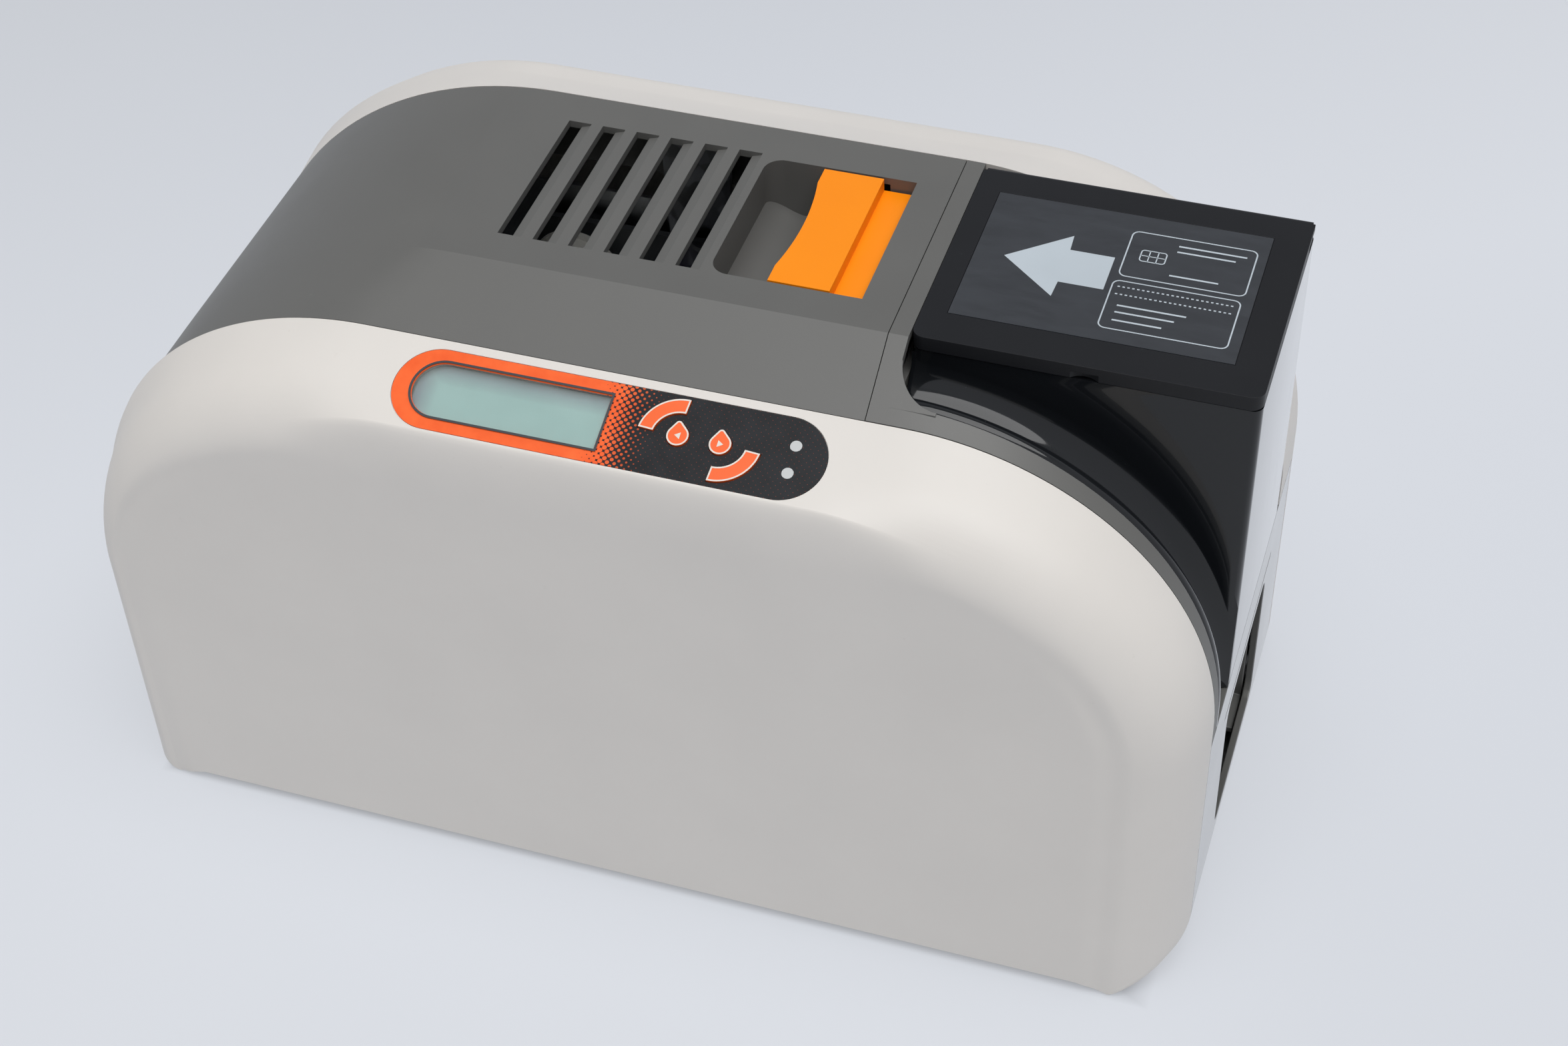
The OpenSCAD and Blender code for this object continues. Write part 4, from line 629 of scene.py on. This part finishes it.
def side_cover(name, side, lead_out, lead_in, cutters):
    """Smooth side cover: a closed outer loft less a closed inner one and the cutters."""
    rings = lead_out + [pillow_ring(side, u, 0) for u in (NEAR_U if side < 0 else FAR_U)]
    if side < 0:
        rings += [pillow_ring(side, 1.0, 0, extra) for extra in WALL_RINGS]
    verts, faces = loft_mesh(rings)
    obj = place(name, verts, faces, "cover_beige", "chassis")
    recalculated(obj.data)
    verts, faces = loft_mesh(lead_in + [pillow_ring(side, u, WALL) for u in INNER_U])
    return carved(obj, [closed_object("hollow", verts, faces)] + cutters)


inner_top = np.stack([TOP_X, np.full_like(TOP_X, Z_S - WALL)], 1)
inner_edge = case_outline(X_R, X_F, Z_S, REAR_R, FRONT_R, WALL, WALL, -20, top=inner_top)
near = side_cover("near_cover_skin", -1, [], [leaning_ring(inner_edge, 1 - Y_S, 0)],
                  [skirt_cutter(), slope_prism(stadium_loop(PANEL_L + 0.4, PANEL_W + 0.4), -0.5, 4),
                   slope_prism(window_loop(0.8), -12, 0)]
                  + [slope_prism(key_loop(k, 0.8), -12, 0) for k in KEY_AT])
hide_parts("near_side_cover")
far = side_cover("far_cover_skin", 1, [leaning_ring(strip_outline(0), Y_F, 0)],
                 [leaning_ring(strip_outline(WALL), y, 0) for y in (Y_F - 1, Y_F + 1)],
                 [skirt_cutter(), box_cutter(-300, 300, Y_F - 5, Y_S, -50, LIP_Z)])
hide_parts("far_side_cover")


# ---------------------------------------------------------------- CAD nodes with softened edges
def refined(node, edge):
    """A merged copy of a node with its flat faces joined and its edges bevelled by edge mm."""
    src = frame["nodes"][node]
    mesh = src.data.copy()
    mesh.name = node + "_finished"
    bm = bmesh.new()
    bm.from_mesh(mesh)
    bmesh.ops.remove_doubles(bm, verts=bm.verts, dist=3e-6)
    bmesh.ops.dissolve_limit(bm, angle_limit=math.radians(0.4), verts=bm.verts, edges=bm.edges)
    bm.to_mesh(mesh)
    bm.free()
    for name in [a.name for a in mesh.attributes if a.name == "custom_normal"]:
        mesh.attributes.remove(mesh.attributes[name])
    smooth_shaded(mesh, NODE_SHARP)
    obj = bpy.data.objects.new(node + "_finished", mesh)
    bpy.context.scene.collection.objects.link(obj)
    bevel = obj.modifiers.new("soft_edges", "BEVEL")
    bevel.width, bevel.segments, bevel.limit_method = edge * MM, 2, "ANGLE"
    bevel.angle_limit = math.radians(35.0)
    bevel.harden_normals = True
    mesh.materials.clear()
    mesh.materials.append(MATERIALS[SLOT_OF[node]])
    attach(obj, BODY_OF[node])
    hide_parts(node)
    return obj


EDGES = {"top_cover": 0.3, "front_frame": 0.3, "front_bezel": 0.4, "release_latch": 0.5,
         "cassette_body": 0.5, "cassette_lid": 0.6, "rear_panel": 0.3, "power_rocker": 0.3,
         "rear_sockets": 0.2, "output_bin": 0.4}
finished = {node: refined(node, edge_mm) for node, edge_mm in EDGES.items()}

# The lower bezel is the same grey with a glossier face, which lights it up at a glancing view
bezel_satin = moulded("grey_satin_bezel", "#61615f", 0.22, 0.5, 0.004, 0.03, coat=0.8)
finished["front_bezel"].data.materials[0] = bezel_satin


# ---------------------------------------------------------------- printed lines
PRINT_WHITE = moulded("printed_light_ink", "#bac4cc", 0.5, 0.4, 0.003, 0.05)
OUTLINE_WHITE = moulded("printed_white_outline", "#e8dfd6", 0.45, 0.4, 0.003, 0.04)
RIM_DARK = moulded("printed_dark_rim", "#33373c", 0.45, 0.4, 0.003, 0.05)


def unit(v):
    """The rows of v, each scaled to length 1."""
    return v / np.maximum(np.linalg.norm(v, axis=1, keepdims=True), 1e-9)


def band(loop, width, closed=True):
    """Points and quads of a flat band: each point moves half the width along its mitred normal."""
    p = np.asarray(loop, float)
    ahead, behind = np.roll(p, -1, 0) - p, p - np.roll(p, 1, 0)
    if not closed:
        ahead[-1], behind[0] = behind[-1], ahead[0]
    n1, n2 = unit(ahead)[:, ::-1] * [-1, 1], unit(behind)[:, ::-1] * [-1, 1]
    mid = unit(n1 + n2)
    reach = width / 2 / np.maximum((mid * n1).sum(1, keepdims=True), 0.5)
    n = len(p)
    k = np.arange(n if closed else n - 1)
    quads = np.stack([k, n + k, n + (k + 1) % n, (k + 1) % n], 1).tolist()
    return np.concatenate([p + mid * reach, p - mid * reach]), quads


def printed(name, parts, to_space, material, slot, body):
    """Joins flat printed shapes, each (points, faces), into one thin piece placed by to_space(u, v)."""
    verts, faces, base = [], [], 0
    for pts, fs in parts:
        verts.append(pts)
        faces += [[i + base for i in f] for f in fs]
        base += len(pts)
    flat = np.concatenate(verts)
    obj = place(name, to_space(flat[:, 0], flat[:, 1]), faces, slot, body)
    obj.data.materials.clear()
    obj.data.materials.append(material)
    return obj


def filled(loop):
    """One face inside a loop."""
    return np.asarray(loop, float), [list(range(len(loop)))]


def round_rect(x0, x1, y0, y1, r, n=6):
    """Closed loop of a rectangle with round corners."""
    return np.concatenate([quarter(x1 - r, y0 + r, r, r, -90, 0, n),
                           quarter(x1 - r, y1 - r, r, r, 0, 90, n),
                           quarter(x0 + r, y1 - r, r, r, 90, 180, n),
                           quarter(x0 + r, y0 + r, r, r, 180, 270, n)])


def on_lid(u, v):
    """Points on the lid's label, 0.02 mm proud of it."""
    return np.stack([u, v, np.full_like(u, Z_T + 0.02)], -1)


def on_panel_at(h):
    """A function that puts panel coordinates at the height h over the panel's plane."""
    def placed(u, v):
        return on_slope(u, v, h)
    return placed


arrow = [(102.6, 0.6), (121.0, 15.6), (121.4, 8.6), (135.4, 8.6), (135.4, -7.4), (121.4, -7.4),
         (121.0, -14.6)]
card_front = [band(round_rect(138.1, 176.8, 0.7, 23.1, 2.2), 0.45)]
card_back = [band(round_rect(137.5, 176.4, -24.6, -1.8, 2.2), 0.45)]
chip = [band(round_rect(142.6, 150.4, 9.2, 14.6, 1.0), 0.4), band([(145.2, 9.2), (145.2, 14.6)], 0.35, False),
        band([(147.8, 9.2), (147.8, 14.6)], 0.35, False), band([(142.6, 11.9), (150.4, 11.9)], 0.35, False)]
stripes = [band([(x, y), (x + 0.75, y)], 0.55, False)
           for y in (-4.6, -8.2) for x in np.arange(139.2, 174.8, 1.5)]
printed("lid_printing", [filled(arrow)] + card_front + card_back + chip + stripes, on_lid, PRINT_WHITE,
        "label_film", "cassette_lid")

for key_name in KEY_AT:
    rim = key_loop(key_name, -0.26)
    printed(key_name + "_rim", [band(rim, 0.5)], on_panel_at(KEY_RIM_H), OUTLINE_WHITE, "key_orange",
            key_name)

glyph = np.array([(-1.0, 0.0), (0.8, 1.15), (0.8, -1.15)])
for key_name, turn in (("key_left", 1), ("key_right", -1)):
    printed(key_name + "_mark", [filled(glyph * turn + KEY_AT[key_name])], on_panel_at(KEY_MARK_H),
            OUTLINE_WHITE, "key_orange", key_name)
printed("display_rim", [band(window_loop(0.55), 0.75)], on_panel_at(DISPLAY_RIM_H), RIM_DARK, "panel_film",
        "chassis")
for card_x0, card_lines in ((153.0, (19.2, 16.4, 4.6)), (141.0, (-13.4, -16.6, -20.4))):
    lines = [band([(card_x0, y), (card_x0 + 21 - 3 * k, y)], 0.7, False) for k, y in enumerate(card_lines)]
    printed("lid_lines_" + str(int(card_x0)), lines, on_lid, PRINT_WHITE, "label_film", "cassette_lid")


# ---------------------------------------------------------------- floor, lamps, camera
def floor_and_backdrop():
    """A pale light table: flat to y = 3 m, then a quarter circle of radius 2 m, then a wall.

    It glows, so shadows on it stay faint. Its glow falls off towards its back left corner, a painted shade,
    and is cut under the case, a painted contact shadow along the case's foot.
    """
    m, t, b = new_material("opal_light_table")
    co = add(t, "TexCoord")
    cloud = add(t, "TexNoise", {"Vector": co.outputs["Object"]}, in_Scale=0.9, in_Detail=1.0)
    t.links.new(two_tone(t, cloud.outputs[0], linear("#7b7f86"), linear("#84878c")), b.inputs["Base Color"])
    b.inputs["Roughness"].default_value = 0.75
    b.inputs["Specular IOR Level"].default_value = 0.1
    # Painted shade: the glow falls from 0.5 to 0.3 towards the back left corner
    turned = add(t, "VectorRotate", {0: co.outputs["Object"]}, rotation_type="Z_AXIS",
                 in_Angle=math.radians(-35))
    across = add(t, "SeparateXYZ", {0: turned.outputs[0]})
    glow_with_painted_falloff = add(t, "MapRange", {"Value": across.outputs[1]}, in_1=0.15, in_2=0.9, in_3=0.50, in_4=0.30)
    # Painted contact shadow: the glow is cut to nothing under the case and comes back just inside its
    # outline, darkening the floor seen under its skirt and along its foot
    size = add(t, "VectorMath", {0: co.outputs["Object"]}, operation="ABSOLUTE")
    part = add(t, "SeparateXYZ", {0: size.outputs[0]})
    wide = add(t, "Math", {0: part.outputs[1]}, operation="MULTIPLY", in_1=CASE_L / CASE_W)
    reach = add(t, "Math", {0: part.outputs[0], 1: wide.outputs[0]}, operation="MAXIMUM")
    outside_painted_contact_shadow = add(t, "MapRange", {"Value": reach.outputs[0]}, in_1=0.158, in_2=0.184, in_3=0.0, in_4=1.0)
    glow_less_painted_shade = add(t, "Math", {0: glow_with_painted_falloff.outputs[0], 1: outside_painted_contact_shadow.outputs[0]}, operation="MULTIPLY")
    b.inputs["Emission Color"].default_value = linear("#f6f9ff")
    t.links.new(glow_less_painted_shade.outputs[0], b.inputs["Emission Strength"])
    a = np.radians(np.linspace(-90, 0, 24))
    prof = np.concatenate([[[-6.0, 0.0]], np.stack([3 + 2 * np.cos(a), 2 + 2 * np.sin(a)], 1), [[5.0, 7.0]]])
    xs = np.array([-7.0, 7.0])
    verts = np.concatenate([np.stack([np.full(len(prof), x), prof[:, 0], prof[:, 1]], 1) for x in xs])
    n = len(prof)
    k = np.arange(n - 1)
    faces = np.stack([k, n + k, n + k + 1, k + 1], 1).tolist()
    mesh = bpy.data.meshes.new("studio_floor")
    mesh.from_pydata(verts.tolist(), [], faces)
    mesh.polygons.foreach_set("use_smooth", np.ones(len(faces), bool))
    floor = bpy.data.objects.new("studio_floor", mesh)
    bpy.context.scene.collection.objects.link(floor)
    mesh.materials.append(m)


def lamp(name, kind, energy, matrix, **settings):
    """A white lamp placed by a 4 x 4 matrix."""
    data = bpy.data.lights.new(name, kind)
    data.energy = energy
    for key, value in settings.items():
        setattr(data, key, value)
    obj = bpy.data.objects.new(name, data)
    obj.matrix_world = matrix
    bpy.context.scene.collection.objects.link(obj)


def aimed(elevation, azimuth, distance=3.0):
    """Matrix of a lamp that looks at the origin from the given direction; azimuth 0 is +X, 90 is +Y."""
    e, a = math.radians(elevation), math.radians(azimuth)
    d = np.array([math.cos(e) * math.cos(a), math.cos(e) * math.sin(a), math.sin(e)])
    up = np.array([0, 0, 1.0]) if abs(d[2]) < 0.99 else np.array([0, 1.0, 0])
    x = np.cross(up, d)
    x /= np.linalg.norm(x)
    y = np.cross(d, x)
    m = np.eye(4)
    m[:3, 0], m[:3, 1], m[:3, 2], m[:3, 3] = x, y, d, d * distance
    return Matrix(m.tolist())


floor_and_backdrop()
lamp("overhead_softbox", "SUN", 2.5, aimed(74, -55), angle=math.radians(50))

world = bpy.data.worlds.new("studio_surround")
bpy.context.scene.world = world
world.use_nodes = True
sky = world.node_tree
sky.nodes.clear()
path = add(sky, "LightPath")
# Rays from the camera, from a gloss and through glass see a pale surround, all others a dim one
direct = add(sky, "Math", {0: path.outputs["Is Camera Ray"], 1: path.outputs["Is Glossy Ray"]},
             operation="MAXIMUM")
seen = add(sky, "Math", {0: direct.outputs[0], 1: path.outputs["Is Transmission Ray"]}, operation="MAXIMUM")
dim = add(sky, "Background", in_Color=linear("#f6f4f2"), in_Strength=0.25)
ray = add(sky, "TexCoord")
height = add(sky, "SeparateXYZ", {0: ray.outputs["Generated"]})
fall = add(sky, "MapRange", {"Value": height.outputs[2]}, in_1=0.72, in_2=0.97, in_3=0.95, in_4=0.22)
pale = add(sky, "Background", {"Strength": fall.outputs[0]}, in_Color=linear("#e4e7ee"))
mix = add(sky, "MixShader", {0: seen.outputs[0], 1: dim.outputs[0], 2: pale.outputs[0]})
out = sky.nodes.new("ShaderNodeOutputWorld")
sky.links.new(mix.outputs[0], out.inputs["Surface"])

# The camera's right, down and forward directions, its place in mm, and its focal length and picture width
# in pixels, all from the photograph's perspective
LOOK = np.array([[0.950221, 0.310041, -0.030895], [0.194884, -0.668781, -0.717462],
                 [-0.243105, 0.675727, -0.695912]])
EYE = (253.316, -627.734, 738.260)
FOCAL_PX, PICTURE_PX = 4002.24, 2350.0
camera = bpy.data.cameras.new("photograph_view")
camera.sensor_fit = "HORIZONTAL"
camera.sensor_width = 36.0
camera.lens = FOCAL_PX * camera.sensor_width / PICTURE_PX
camera.clip_start, camera.clip_end = 0.05, 50.0
eye = bpy.data.objects.new("photograph_view", camera)
pose = np.eye(4)
pose[:3, 0], pose[:3, 1], pose[:3, 2] = LOOK[0], -LOOK[1], -LOOK[2]
pose[:3, 3] = np.array(EYE) * MM
eye.matrix_world = Matrix(pose.tolist())
bpy.context.scene.collection.objects.link(eye)
bpy.context.scene.camera = eye
bpy.context.scene.view_settings.view_transform = "Standard"
